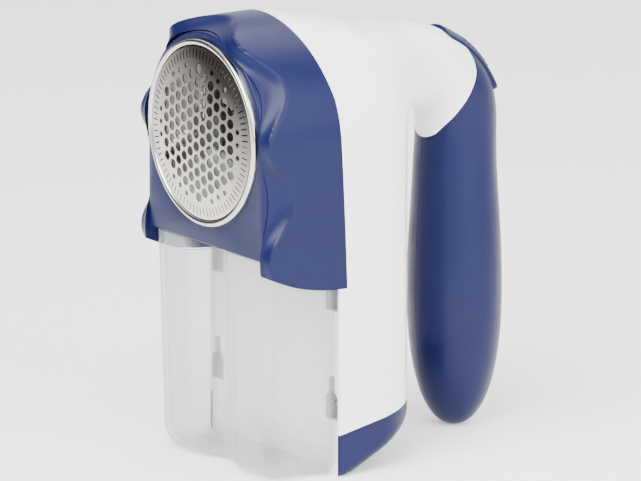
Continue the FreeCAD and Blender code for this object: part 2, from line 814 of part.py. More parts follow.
dome_centre = depth(f"{dome_radius} - Dim.foil_stand - Dim.foil_dome")


def dome_ball(name, smaller):
    """A ball concentric with the foil's dome."""
    ball = bind(new("Part::Sphere", name), Radius=f"{dome_radius} - ({smaller})")
    return place(ball, "0", dome_centre, HEAD_Z)


foil_apex = depth("-Dim.foil_stand - Dim.foil_dome - 1")
foil_cup = cut(
    "foil_cup",
    common(
        "foil_cup_solid",
        rod(
            "foil_cup_rod",
            "y",
            "Dim.foil_radius",
            "Dim.foil_stand + Dim.foil_dome + 1 + Dim.cover_sheet",
            "0",
            foil_apex,
            HEAD_Z,
        ),
        dome_ball("dome_outside", "0"),
    ),
    common(
        "foil_cup_hollow",
        rod(
            "foil_cup_bore",
            "y",
            "Dim.foil_radius - Dim.foil_sheet",
            "2 * Dim.cover_skirt",
            "0",
            foil_apex,
            HEAD_Z,
        ),
        dome_ball("dome_inside", "Dim.foil_sheet"),
    ),
)
foil_flange = tube(
    "foil_flange",
    "y",
    "Dim.foil_radius + Dim.foil_flange",
    "Dim.foil_radius - Dim.foil_sheet",
    "Dim.foil_sheet",
    "0",
    depth("Dim.cover_sheet"),
    HEAD_Z,
)


def foil_holes():
    """Round holes on a triangular grid; the outermost are smaller."""
    pitch, reach, rings = size("hole_pitch"), size("slit_start") - 1.2, 7
    holes = []
    for i in range(-rings, rings + 1):
        for j in range(-rings, rings + 1):
            across, up = i * math.sqrt(3) / 2, j + i / 2
            if math.hypot(across, up) * pitch > reach:
                continue
            outermost = math.hypot(across, up) * pitch > reach - 0.45 * pitch
            radius = "Dim.small_hole_radius" if outermost else "Dim.hole_radius"
            holes.append(
                rod(
                    f"hole_{len(holes):03d}",
                    "y",
                    radius,
                    "3 * Dim.foil_dome",
                    f"{across} * Dim.hole_pitch",
                    foil_apex,
                    f"{HEAD_Z} + {up} * Dim.hole_pitch",
                ),
            )
    return holes


def foil_slits():
    """Narrow radial slits round the edge of the dome."""
    count = round(size("slit_count"))
    slits = []
    for i in range(count):
        angle = 360 * i / count
        turn = Rotation(Vector(0, 1, 0), -angle)
        corner = turn.multVec(Vector(0, 0, 1))
        half = "Dim.slit_width / 2"
        slit = block(
            f"slit_{i:02d}",
            f"{math.cos(math.radians(angle))} * Dim.slit_start - {corner.x} * {half}",
            foil_apex,
            f"{HEAD_Z} + {math.sin(math.radians(angle))} * Dim.slit_start - {corner.z} * {half}",
            "Dim.slit_length",
            "3 * Dim.foil_dome",
            "Dim.slit_width",
            turn,
        )
        slits.append(slit)
    return slits


node(
    "foil",
    cut(
        "foil",
        fuse("foil_blank", foil_cup, foil_flange),
        compound("foil_openings", foil_holes() + foil_slits()),
    ),
)

# ---- cutter chamber ----------------------------------------------------------------------------------
drum_radius = "(Dim.chamber_radius + Dim.chamber_wall)"
drum_depth = "Dim.chamber_back - Dim.chamber_front"
bulkhead_radius = "(Dim.head_radius - Dim.hood_wall - Dim.cover_gap)"
chute_outer = "(Dim.chute_half_width + Dim.chamber_wall)"
chute_front = depth("Dim.chamber_front + 1")
chute_top = f"{HEAD_Z} - 0.75 * Dim.chamber_radius"
bulkhead_start = depth("Dim.chamber_back")
floor_start = depth("Dim.chamber_back + Dim.chamber_wall")
motor_screw_x = "Dim.motor_screw_spacing / 2"
node(
    "cutter_chamber",
    cut(
        "cutter_chamber",
        fuse(
            "chamber_blank",
            rod("drum", "y", drum_radius, drum_depth, "0", depth("Dim.chamber_front"), HEAD_Z),
            arch("bulkhead", bulkhead_radius, "Dim.floor_z", bulkhead_start, "Dim.chamber_wall"),
            block(
                "chute",
                f"-{chute_outer}",
                chute_front,
                "Dim.floor_z",
                f"2 * {chute_outer}",
                f"{drum_depth} - 1",
                f"{chute_top} - Dim.floor_z",
            ),
            block(
                "floor",
                f"-{bulkhead_radius}",
                floor_start,
                "Dim.floor_z",
                f"2 * {bulkhead_radius}",
                "Dim.column_front - Dim.chamber_back - Dim.chamber_wall",
                "Dim.chamber_wall",
            ),
        ),
        rod("drum_bore", "y", "Dim.chamber_radius", "Dim.chamber_back", "0", depth("0"), HEAD_Z),
        block(
            "chute_bore",
            "-Dim.chute_half_width",
            f"{chute_front} + Dim.chamber_wall",
            "Dim.floor_z - 1",
            "2 * Dim.chute_half_width",
            f"{drum_depth} - 1 - Dim.chamber_wall",
            f"{chute_top} - Dim.floor_z + 1.5",
        ),
        rod(
            "boss_hole",
            "y",
            "Dim.shaft_hole_radius",
            "3 * Dim.chamber_wall",
            "0",
            depth("Dim.chamber_back - Dim.chamber_wall"),
            HEAD_Z,
        ),
        rod(
            "motor_hole_left",
            "y",
            "Dim.screw_radius + Dim.screw_gap",
            "3 * Dim.chamber_wall",
            f"-{motor_screw_x}",
            depth("Dim.chamber_back - Dim.chamber_wall"),
            HEAD_Z,
        ),
        rod(
            "motor_hole_right",
            "y",
            "Dim.screw_radius + Dim.screw_gap",
            "3 * Dim.chamber_wall",
            motor_screw_x,
            depth("Dim.chamber_back - Dim.chamber_wall"),
            HEAD_Z,
        ),
    ),
)

# ---- motor -------------------------------------------------------------------------------------------
motor_start = "Dim.chamber_back + Dim.chamber_wall"


def flat_can(name, radius, flat, start, length):
    """A motor section: round at the sides, flat above and below."""
    return common(
        name,
        rod(name + "_round", "y", radius, length, "0", start, HEAD_Z),
        block(
            name + "_flats",
            f"-({radius})",
            start,
            f"{HEAD_Z} - ({flat})",
            f"2 * ({radius})",
            length,
            f"2 * ({flat})",
        ),
    )


can_inner = "Dim.motor_radius - Dim.motor_sheet"
flat_inner = "Dim.motor_flat - Dim.motor_sheet"
bushing_radius = "(Dim.shaft_hole_radius - 1)"
can_front = depth(motor_start)
endcap_start = depth(f"{motor_start} + Dim.motor_can")
tail_end = depth(f"{motor_start} + Dim.motor_can + Dim.endcap_length")
node(
    "motor_can",
    cut(
        "motor_can",
        fuse(
            "motor_can_blank",
            flat_can("motor_can_form", "Dim.motor_radius", "Dim.motor_flat", can_front, "Dim.motor_can"),
            rod(
                "motor_boss",
                "y",
                f"{bushing_radius} + 0.6",
                "Dim.chamber_wall",
                "0",
                bulkhead_start,
                HEAD_Z,
            ),
        ),
        flat_can(
            "motor_can_hollow",
            can_inner,
            flat_inner,
            f"{can_front} + Dim.motor_sheet",
            "Dim.motor_can",
        ),
        rod(
            "motor_front_bore",
            "y",
            bushing_radius,
            "3 * Dim.chamber_wall",
            "0",
            depth("Dim.chamber_back - 1"),
            HEAD_Z,
        ),
        rod(
            "motor_thread_left",
            "y",
            "Dim.screw_radius + Dim.screw_gap",
            "2 * Dim.motor_sheet",
            f"-{motor_screw_x}",
            f"{can_front} - 0.2",
            HEAD_Z,
        ),
        rod(
            "motor_thread_right",
            "y",
            "Dim.screw_radius + Dim.screw_gap",
            "2 * Dim.motor_sheet",
            motor_screw_x,
            f"{can_front} - 0.2",
            HEAD_Z,
        ),
    ),
)
node(
    "motor_endcap",
    cut(
        "motor_endcap",
        fuse(
            "motor_endcap_blank",
            flat_can(
                "motor_endcap_form",
                "Dim.motor_radius",
                "Dim.motor_flat",
                endcap_start,
                "Dim.endcap_length",
            ),
            rod("motor_tail", "y", f"{bushing_radius} + 0.6", "1.5", "0", tail_end, HEAD_Z),
        ),
        rod(
            "motor_tail_bore",
            "y",
            bushing_radius,
            "Dim.endcap_length + 3",
            "0",
            f"{endcap_start} - 1",
            HEAD_Z,
        ),
    ),
)
bushings = [
    tube(
        f"bushing_{tag}",
        "y",
        bushing_radius,
        "Dim.shaft_radius + Dim.running_gap",
        length,
        "0",
        start,
        HEAD_Z,
    )
    for tag, start, length in (
        ("front", bulkhead_start, "Dim.chamber_wall + Dim.motor_sheet"),
        ("back", endcap_start, "Dim.endcap_length"),
    )
]
node("motor_bushings", compound("motor_bushings", bushings))
magnet_start = f"{can_front} + Dim.motor_sheet + 2"
magnet_ring = tube(
    "magnet_ring",
    "y",
    can_inner,
    f"{can_inner} - Dim.magnet_sheet",
    "Dim.motor_can - 8",
    "0",
    magnet_start,
    HEAD_Z,
)
node(
    "motor_magnets",
    cut(
        "motor_magnets",
        magnet_ring,
        block(
            "magnet_gap_top",
            "-Dim.motor_radius",
            magnet_start,
            f"{HEAD_Z} + 0.5 * Dim.motor_flat",
            "2 * Dim.motor_radius",
            "Dim.motor_can",
            "Dim.motor_radius",
        ),
        block(
            "magnet_gap_low",
            "-Dim.motor_radius",
            magnet_start,
            f"{HEAD_Z} - 0.5 * Dim.motor_flat - Dim.motor_radius",
            "2 * Dim.motor_radius",
            "Dim.motor_can",
            "Dim.motor_radius",
        ),
    ),
)
terminal_x = "0.6 * Dim.motor_radius"
terminals = [
    block(f"terminal_{side}", f"{x} - 1.2", tail_end, f"{HEAD_Z} - 0.2", "2.4", "4", "0.4")
    for side, x in (("left", f"-{terminal_x}"), ("right", terminal_x))
]
node("motor_terminals", compound("motor_terminals", terminals))
motor_screw_parts = []
for side, x in (("left", f"-{motor_screw_x}"), ("right", motor_screw_x)):
    motor_screw_parts.append(
        fuse(
            f"motor_screw_{side}",
            rod(
                f"motor_screw_head_{side}",
                "y",
                "1.8 * Dim.screw_radius",
                "1.2",
                x,
                depth("Dim.chamber_back - 1.2"),
                HEAD_Z,
            ),
            rod(
                f"motor_screw_shank_{side}",
                "y",
                "Dim.screw_radius",
                "Dim.chamber_wall + Dim.motor_sheet + 1",
                x,
                bulkhead_start,
                HEAD_Z,
            ),
        )
    )
node("motor_screws", compound("motor_screws", motor_screw_parts))

# ---- what turns: armature, shaft, drive dog ----------------------------------------------------------
shaft_front = "Dim.dog_front + 1"
node(
    "motor_shaft",
    rod(
        "motor_shaft",
        "y",
        "Dim.shaft_radius",
        f"{motor_start} + Dim.motor_can + Dim.endcap_length + 1 - ({shaft_front})",
        "0",
        depth(shaft_front),
        HEAD_Z,
    ),
)
armature_start = depth(f"{motor_start} + Dim.motor_sheet + 3")
node(
    "motor_armature",
    cut(
        "motor_armature",
        tube(
            "armature_blank",
            "y",
            "Dim.armature_radius",
            "Dim.shaft_radius",
            "Dim.motor_can - 11",
            "0",
            armature_start,
            HEAD_Z,
        ),
        *[
            place(
                bind(
                    new("Part::Box", f"armature_slot_{i}"),
                    Length="1.2",
                    Width="Dim.motor_can",
                    Height="Dim.armature_radius",
                ),
                f"-0.6 * {math.cos(math.radians(angle))} + 3.4 * {math.sin(math.radians(angle))}",
                f"{armature_start} - 1",
                f"{HEAD_Z} + 0.6 * {math.sin(math.radians(angle))} + 3.4 * {math.cos(math.radians(angle))}",
                Rotation(Vector(0, 1, 0), angle),
            )
            for i, angle in enumerate((0, 120, 240))
        ],
    ),
)


def hexagon(name, flats, start, length):
    """A six-sided bar along Y on the cutter axis."""
    bar = new("Part::Prism", name)
    bar.Polygon = 6
    bind(bar, Circumradius=f"({flats}) / sqrt(3)", Height=length)
    return place(bar, "0", start, HEAD_Z, ALONG["y"])


collar_start = depth("Dim.dog_back - Dim.dog_collar")
node(
    "drive_dog",
    cut(
        "drive_dog",
        fuse(
            "drive_dog_blank",
            hexagon("dog_hexagon", "Dim.dog_flats", depth("Dim.dog_front"), "Dim.dog_back - Dim.dog_front"),
            rod("dog_collar", "y", "Dim.spring_radius + 1.2", "Dim.dog_collar", "0", collar_start, HEAD_Z),
        ),
        rod("dog_bore", "y", "Dim.shaft_radius", "2 * Dim.dog_back", "0", depth(shaft_front), HEAD_Z),
    ),
)


def coil(name, radius, wire, turns, length, x, y, z, turn):
    """A closed-end coil spring along its own Z, then turned and placed."""
    spiral = new("Part::Helix", name + "_spiral")
    bind(spiral, Radius=radius, Pitch=f"({length} - {wire}) / {turns}", Height=f"{length} - {wire}")
    section = bind(new("Part::Circle", name + "_section"), Radius=f"{wire} / 2")
    place(section, radius, "0", "0", Rotation(Vector(1, 0, 0), 90))
    sweep = new("Part::Sweep", name + "_sweep")
    doc.recompute()
    sweep.Sections = [section]
    sweep.Spine = (spiral, [f"Edge{i + 1}" for i in range(len(spiral.Shape.Edges))])
    sweep.Solid = True
    sweep.Frenet = True
    spring = new("Part::Feature", name)
    doc.recompute()
    spring.Shape = sweep.Shape
    return place(spring, x, y, z, turn)


node(
    "cutter_spring",
    coil(
        "cutter_spring",
        "Dim.spring_radius",
        "Dim.spring_wire",
        "4",
        "Dim.dog_back - Dim.dog_collar - Dim.hub_back - 0.1",
        "0",
        depth("Dim.hub_back + 0.05 + Dim.spring_wire / 2"),
        HEAD_Z,
        ALONG["y"],
    ),
)

# ---- cutter ------------------------------------------------------------------------------------------
BLADE_ANGLES = (90, 210, 330)
arm_solids, blade_solids = [], []
blade_length = "(Dim.blade_reach - Dim.blade_start)"
for angle in BLADE_ANGLES:
    c, s = math.cos(math.radians(angle)), math.sin(math.radians(angle))
    radial = Rotation(Vector(0, 1, 0), -angle)
    arm_solids.append(
        block(
            f"arm_{angle}",
            f"{s} * Dim.arm_width / 2",
            depth("Dim.arm_front"),
            f"{HEAD_Z} - {c} * Dim.arm_width / 2",
            "Dim.blade_reach - 0.4",
            "Dim.arm_sheet",
            "Dim.arm_width",
            radial,
        )
    )
    lean = radial.multiply(Rotation(Vector(1, 0, 0), size("blade_tilt")))
    blade_solids.append(
        block(
            f"blade_{angle}",
            f"{c} * Dim.blade_start",
            depth("Dim.arm_front + 1"),
            f"{HEAD_Z} + {s} * Dim.blade_start",
            blade_length,
            "10",
            "Dim.blade_sheet",
            lean.multiply(Rotation(Vector(1, 0, 0), 180)),
        )
    )
blades = common(
    "blades",
    compound("blade_strips", blade_solids),
    dome_ball("blade_sweep", "Dim.foil_sheet + Dim.blade_gap"),
)
node("cutter_blades", blades)
node(
    "cutter_hub",
    cut(
        "cutter_hub",
        fuse(
            "hub_blank",
            rod(
                "hub_disc",
                "y",
                "Dim.hub_radius",
                "Dim.hub_back - Dim.hub_front",
                "0",
                depth("Dim.hub_front"),
                HEAD_Z,
            ),
            *arm_solids,
        ),
        hexagon(
            "hub_socket",
            "Dim.dog_flats + 2 * Dim.dog_gap",
            depth("Dim.dog_front - Dim.float_travel - 0.1"),
            "Dim.hub_back",
        ),
        compound("hub_blade_seats", blade_solids),
    ),
)

# ---- lint bin ----------------------------------------------------------------------------------------
bin_back = "Dim.column_front - Dim.bin_gap"
bin_top = "(Dim.cover_bottom_z - Dim.bin_gap)"


def bin_form(name, inset, top):
    """The bin's outer form, or its inside when it is made smaller by a wall."""
    front, back = depth(f"Dim.bin_front + {inset}"), depth(f"{bin_back} - {inset}")
    narrow, wide = f"(Dim.bin_front_half - {inset})", f"(Dim.bin_back_half - {inset})"
    raw = plan_prism(
        name + "_raw",
        ((f"-{narrow}", front), (narrow, front), (wide, back), (f"-{wide}", back)),
        inset,
        f"{top} - {inset}",
    )
    front_y, back_y, foot = value(front), value(back), value(inset)

    def wanted(edge):
        box = edge.BoundBox
        upright = box.ZLength > 1 and near(box.YMax, front_y)
        bottom = near(box.ZMax, foot) and not near(box.YMin, back_y)
        return upright or bottom

    soft = rounded(name + "_soft", raw, size("bin_round") - value(inset), wanted)
    lean = math.degrees(math.atan2(size("flute_bite"), size("cover_bottom_z")))
    radius = f"(Dim.flute_radius + {inset})"
    flute = bind(new("Part::Cylinder", name + "_flute"), Radius=radius, Height=f"1.3 * {bin_top}")
    place(
        flute,
        "0",
        depth("Dim.bin_front + Dim.flute_bite - Dim.flute_radius"),
        "-1",
        Rotation(Vector(1, 0, 0), lean),
    )
    return cut(name, soft, flute)


bin_side_trim = cut(
    "bin_side_trim",
    hood_side("hood_room_bin", "Dim.bin_gap"),
    block(
        "bin_between_skirts",
        f"-{cover_radius}",
        depth("-9"),
        "0",
        f"2 * {cover_radius}",
        "5 * Dim.head_radius",
        "3 * Dim.head_z",
    ),
)
lug_start = "(Dim.slot_x - (Dim.slot_narrow - 0.6) / 2)"
lugs = [
    block(
        f"lug_{side}_{level}",
        inner_end,
        depth(f"{bin_back} - Dim.bin_wall / 2"),
        f"{foot} + Dim.slot_wide_height + 0.9",
        f"{cover_radius} - {lug_start}",
        "Dim.lug_length + Dim.bin_wall / 2",
        "Dim.lug_height",
    )
    for side, inner_end in (("left", f"-{cover_radius}"), ("right", lug_start))
    for level, foot in (("low", "Dim.slot_low_z"), ("high", "Dim.slot_low_z + Dim.slot_rise"))
]
node(
    "lint_bin",
    cut(
        "lint_bin",
        fuse(
            "bin_with_lugs",
            cut(
                "bin_tub",
                bin_form("bin_outside", "0", bin_top),
                bin_form("bin_inside", "Dim.bin_wall", f"{bin_top} + 2"),
            ),
            *lugs,
        ),
        bin_side_trim,
    ),
)

# ---- cells and contacts ------------------------------------------------------------------------------
cell_y = depth("Dim.cell_depth")
cell_top = "(Dim.cell_z + Dim.cell_length + Dim.cell_nub)"
node(
    "cell_left",
    fuse(
        "cell_left",
        rod(
            "cell_left_can",
            "z",
            "Dim.cell_radius",
            "Dim.cell_length",
            "-Dim.cell_x",
            cell_y,
            "Dim.cell_z",
        ),
        rod(
            "cell_left_nub",
            "z",
            "Dim.cell_nub_radius",
            "Dim.cell_nub",
            "-Dim.cell_x",
            cell_y,
            "Dim.cell_z + Dim.cell_length",
        ),
    ),
)
node(
    "cell_right",
    fuse(
        "cell_right",
        rod(
            "cell_right_can",
            "z",
            "Dim.cell_radius",
            "Dim.cell_length",
            "Dim.cell_x",
            cell_y,
            "Dim.cell_z + Dim.cell_nub",
        ),
        rod(
            "cell_right_nub",
            "z",
            "Dim.cell_nub_radius",
            "Dim.cell_nub",
            "Dim.cell_x",
            cell_y,
            "Dim.cell_z",
        ),
    ),
)
leaf_room = "3"


def leaf(name, x, foot):
    """A bent leaf spring that fills the room between a cell and its contact plate."""
    start, middle = depth("Dim.cell_depth - Dim.leaf_reach"), depth("Dim.cell_depth")
    end = depth("Dim.cell_depth + Dim.leaf_reach")
    top = f"{foot} + {leaf_room} - 0.1"
    strip = side_prism(
        name + "_strip",
        (
            (start, foot),
            (middle, f"{top} - Dim.leaf_sheet"),
            (end, foot),
            (end, f"{foot} + Dim.leaf_sheet"),
            (middle, top),
            (start, f"{foot} + Dim.leaf_sheet"),
        ),
    )
    sides = block(
        name + "_sides",
        f"{x} - Dim.leaf_width / 2",
        depth("Dim.cell_depth - Dim.leaf_reach - 1"),
        f"{foot} - 1",
        "Dim.leaf_width",
        "2 * Dim.leaf_reach + 2",
        f"{leaf_room} + 2",
    )
    return common(name, strip, sides)


roof_z = f"({cell_top} + {leaf_room} + Dim.contact_sheet)"
node(
    "battery_roof",
    common(
        "battery_roof",
        body_inside,
        cut(
            "roof_plate",
            block(
                "roof_slab",
                "-Dim.head_radius",
                depth("Dim.hood_low_depth + 0.5"),
                roof_z,
                "2 * Dim.head_radius",
                "Dim.column_back - Dim.hood_low_depth",
                "Dim.roof_sheet",
            ),
            rod("roof_hole_left", "z", "2", "3 * Dim.roof_sheet", "-Dim.cell_x", cell_y, f"{roof_z} - 1"),
            rod("roof_hole_right", "z", "2", "3 * Dim.roof_sheet", "Dim.cell_x", cell_y, f"{roof_z} - 1"),
            *[
                rod(
                    f"roof_screw_room_{i}",
                    "x",
                    "Dim.boss_radius + 0.2",
                    "2 * Dim.head_radius",
                    "-Dim.head_radius",
                    depth(back),
                    z,
                )
                for i, (back, z, half) in enumerate(BODY_SCREWS[:2])
            ],
        ),
    ),
)
contact_half = "0.6 * Dim.cell_radius"
for side, x in (("left", "-Dim.cell_x"), ("right", "Dim.cell_x")):
    plate = block(
        f"top_plate_{side}",
        f"{x} - {contact_half}",
        f"{cell_y} - {contact_half}",
        f"{roof_z} - Dim.contact_sheet",
        f"2 * {contact_half}",
        f"2 * {contact_half}",
        "Dim.contact_sheet",
    )
    if side == "left":
        button = rod(
            "top_button",
            "z",
            "Dim.cell_nub_radius",
            f"{leaf_room} - 0.05",
            x,
            cell_y,
            f"{cell_top} + 0.05",
        )
        plate = fuse("positive_plate", plate, button)
    node("top_contact_positive" if side == "left" else "top_contact_negative", plate)
node(
    "top_contact_spring",
    leaf("top_contact_spring", "Dim.cell_x", f"{cell_top} + 0.05"),
)
bridge_z = f"(Dim.cell_z - {leaf_room} - Dim.contact_sheet)"
bridge = block(
    "bridge_plate",
    f"-Dim.cell_x - {contact_half}",
    f"{cell_y} - 0.5 * {contact_half}",
    bridge_z,
    f"2 * Dim.cell_x + 2 * {contact_half}",
    contact_half,
    "Dim.contact_sheet",
)
bridge_button = rod(
    "bridge_button",
    "z",
    "Dim.cell_nub_radius",
    f"{leaf_room} - 0.05",
    "Dim.cell_x",
    cell_y,
    f"{bridge_z} + Dim.contact_sheet",
)
node("bridge_contact", fuse("bridge_contact", bridge, bridge_button))
node(
    "bridge_spring",
    leaf("bridge_spring", "-Dim.cell_x", f"{bridge_z} + Dim.contact_sheet + 0.05"),
)

# ---- power slider and switch -------------------------------------------------------------------------
slider_outer = "Dim.slider_radius + Dim.slider_sheet"
stem_foot = "(Dim.switch_radius + 0.2)"
node(
    "power_slider",
    fuse(
        "power_slider",
        cut(
            "slider_plate",
            sector(
                "slider_outside",
                slider_outer,
                "Dim.slider_start",
                "Dim.slider_span",
                "Dim.slider_width",
            ),
            sector(
                "slider_inside",
                "Dim.slider_radius",
                "Dim.slider_start - 1",
                "Dim.slider_span + 2",
                "2 * Dim.slider_width",
            ),
        ),
        cut(
            "slider_stem",
            sector(
                "stem_outside",
                "Dim.slider_radius + Dim.slider_sheet / 2",
                "Dim.stem_start",
                "Dim.stem_span",
                "Dim.stem_width",
            ),
            sector(
                "stem_inside",
                stem_foot,
                "Dim.stem_start - 1",
                "Dim.stem_span + 2",
                "2 * Dim.stem_width",
            ),
        ),
    ),
)
switch_angle = "(Dim.stem_start + (Dim.stem_span + Dim.slider_travel) / 2)"
switch_turn = Rotation(Vector(1, 0, 0), value(switch_angle))


def beside_switch(radial, along):
    """Y and Z of a point at a radius from the shoulder's centre, moved along the slider's path."""
    a = f"{switch_angle} * 1 deg"
    y = depth(f"Dim.shoulder_y + ({radial}) * cos({a}) - ({along}) * sin({a})")
    return y, f"Dim.shoulder_z + ({radial}) * sin({a}) + ({along}) * cos({a})"


switch_foot = "Dim.switch_radius - 2 - Dim.switch_height"
node(
    "slide_switch",
    block(
        "slide_switch",
        "-Dim.switch_width / 2",
        *beside_switch(switch_foot, "-Dim.switch_length / 2"),
        "Dim.switch_width",
        "Dim.switch_height",
        "Dim.switch_length",
        switch_turn,
    ),
)
node(
    "switch_lever",
    cut(
        "switch_lever",
        sector(
            "lever_outside",
            f"{stem_foot} - 0.01",
            "Dim.stem_start",
            "Dim.stem_span",
            "Dim.stem_width - 1",
        ),
        sector(
            "lever_inside",
            "Dim.switch_radius - 1.4",
            "Dim.stem_start - 1",
            "Dim.stem_span + 2",
            "2 * Dim.stem_width",
        ),
    ),
)


# ---- wires -------------------------------------------------------------------------------------------
def lead(label, route):
    """A wire through (X, depth, Z) points: straight runs joined by tangent arcs."""
    points = [Vector(value(x), value(depth(back)), value(z)) for x, back, z in route]
    edges, start = [], points[0]
    for before, corner, after in zip(points, points[1:], points[2:]):
        inward, outward = (before - corner), (after - corner)
        reach = 0.45 * min(inward.Length, outward.Length)
        first = corner + inward.normalize() * reach
        last = corner + outward.normalize() * reach
        turn = math.pi - inward.getAngle(outward)
        radius = reach / math.tan(turn / 2)
        bisector = (inward + outward).normalize()
        middle = corner + bisector * (radius / math.cos(turn / 2) - radius)
        edges += [Part.LineSegment(start, first).toShape(), Part.Arc(first, middle, last).toShape()]
        start = last
    edges.append(Part.LineSegment(start, points[-1]).toShape())
    path = Part.Wire(edges)
    section = Part.Wire([Part.Circle(points[0], points[1] - points[0], size("lead_radius")).toShape()])
    wire = new("Part::Feature", label)
    wire.Shape = path.makePipeShell([section], True, True)
    return node(label, wire)


switch_y, switch_z = beside_switch(f"{switch_foot} - 0.7", "0")
switch_depth = switch_y.replace("Dim.face_y + ", "", 1)
over_roof = f"{roof_z} + Dim.roof_sheet + 4"
motor_tail = f"{motor_start} + Dim.motor_can + Dim.endcap_length + 2"
lead(
    "lead_battery_to_switch",
    (
        ("-Dim.cell_x", "Dim.cell_depth", f"{roof_z} + 0.1"),
        ("-Dim.cell_x", "Dim.cell_depth", over_roof),
        ("-Dim.cell_x - 3", "Dim.column_back - 9", "Dim.head_z - 8"),
        ("-8", "Dim.column_back + 2", "Dim.neck_z - 2"),
        ("-3", "Dim.column_back + 18", "Dim.neck_z - 3"),
        ("-3", switch_depth, switch_z),
    ),
)
lead(
    "lead_switch_to_motor",
    (
        (terminal_x, motor_tail, f"{HEAD_Z} + 0.95"),
        (terminal_x, "Dim.column_back - 7", f"{HEAD_Z} + 6"),
        ("7", "Dim.column_back + 4", "Dim.neck_z - 2"),
        ("3", "Dim.column_back + 18", "Dim.neck_z - 3"),
        ("3", switch_depth, switch_z),
    ),
)
lead(
    "lead_battery_to_motor",
    (
        ("Dim.cell_x", "Dim.cell_depth", f"{roof_z} + 0.1"),
        ("Dim.cell_x", "Dim.cell_depth", over_roof),
        ("Dim.cell_x - 8", "Dim.cell_depth + 4", "Dim.head_z - 14"),
        (f"-{terminal_x}", motor_tail, f"{HEAD_Z} - 0.95"),
    ),
)

# ---- checks and export -------------------------------------------------------------------------------
doc.recompute()
failed = [o.Name for o in doc.Objects if "Invalid" in o.State or "Error" in o.State]
failed += [label for label, item in nodes.items() if item.Shape.isNull() or not item.Shape.isValid()]
if failed:
    raise RuntimeError("these did not build: " + ", ".join(sorted(set(failed))))
os.makedirs("parts", exist_ok=True)
for label, item in nodes.items():
    item.Shape.exportStep(os.path.join("parts", label + ".step"))
print(len(nodes), "nodes written")
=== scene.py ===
"""Fabric shaver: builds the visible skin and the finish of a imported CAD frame.

Lengths inside the builders are millimetres: x across, depth backwards from the foil cover's face, z up.
"""
import json
import math

import bmesh
import bpy
import numpy as np
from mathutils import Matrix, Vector


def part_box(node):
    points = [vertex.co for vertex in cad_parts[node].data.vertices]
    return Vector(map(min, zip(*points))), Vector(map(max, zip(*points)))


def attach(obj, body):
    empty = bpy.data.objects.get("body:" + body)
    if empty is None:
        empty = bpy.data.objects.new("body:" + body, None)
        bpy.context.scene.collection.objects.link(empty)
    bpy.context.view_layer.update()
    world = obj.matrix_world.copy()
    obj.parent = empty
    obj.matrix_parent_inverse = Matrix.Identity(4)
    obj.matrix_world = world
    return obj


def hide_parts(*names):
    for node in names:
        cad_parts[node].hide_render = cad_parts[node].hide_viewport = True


bl_info = {
    "name": "Fabric Shaver",
    "version": (1, 0, 0),
    "blender": (4, 5, 0),
    "location": "View3D > Sidebar > Shaver",
    "description": "Builds the shell, foil, lint bin and finish of a battery fabric shaver",
    "category": "Add Mesh",
}

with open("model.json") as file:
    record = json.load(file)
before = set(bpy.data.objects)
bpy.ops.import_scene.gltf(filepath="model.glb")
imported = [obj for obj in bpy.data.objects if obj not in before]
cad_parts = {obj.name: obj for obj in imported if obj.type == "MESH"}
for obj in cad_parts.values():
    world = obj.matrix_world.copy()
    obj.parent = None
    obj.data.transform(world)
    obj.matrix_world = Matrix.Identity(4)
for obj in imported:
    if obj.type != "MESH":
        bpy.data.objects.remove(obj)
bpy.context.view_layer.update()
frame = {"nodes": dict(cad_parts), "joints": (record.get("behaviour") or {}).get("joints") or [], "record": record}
MM = 0.001


def corner_mm(node):
    """Lowest and highest corner of a CAD node in millimetres."""
    return [np.array(corner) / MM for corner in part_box(node)]


def joint(name):
    """The record of a joint of the frame."""
    return next(j for j in frame["joints"] if j["name"] == name)


# ---- sizes taken from the frame -----------------------------------------------------------------
COVER_LOW, COVER_HIGH = corner_mm("foil_cover")
FACE = COVER_LOW[1]
HEAD_Z = joint("motor_spin")["pos_m"][2] / MM
HOOD_LOW, HOOD_HIGH = corner_mm("hood")
HEAD_RADIUS = HOOD_HIGH[0]
LIP = HOOD_LOW[1] - FACE
COLUMN_LOW, COLUMN_HIGH = corner_mm("base_cap")
COLUMN_FRONT = COLUMN_LOW[1] - FACE
COLUMN_BACK = COLUMN_HIGH[1] - FACE
BIN_LOW, BIN_HIGH = corner_mm("lint_bin")
BIN_FRONT = BIN_LOW[1] - FACE
BIN_TOP = BIN_HIGH[2]
RIM_LOW, RIM_HIGH = corner_mm("foil_rim")
FOIL_LOW, FOIL_HIGH = corner_mm("foil")
SHOULDER = np.array(joint("power_slide")["pos_m"][1:]) / MM - (FACE, 0)
GRIP = 14.9  # handle radius at its thickest
GRIP_DEPTH, GRIP_THICK_Z = 93.6, 44.4
WALL = 2.0
BODY_START = 17.0  # where the white body ends under the hood


# ---- add-on properties --------------------------------------------------------------------------
def length(name, text, default):
    """A length property, its default given in millimetres."""
    return bpy.props.FloatProperty(
        name=name, description=text, default=default * MM, unit="LENGTH", precision=5
    )


def colour(name, text, default):
    return bpy.props.FloatVectorProperty(
        name=name, description=text, default=default, subtype="COLOR", size=3, min=0, max=1
    )


def share(name, text, default):
    return bpy.props.FloatProperty(
        name=name, description=text, default=default, min=0, max=1, subtype="FACTOR"
    )


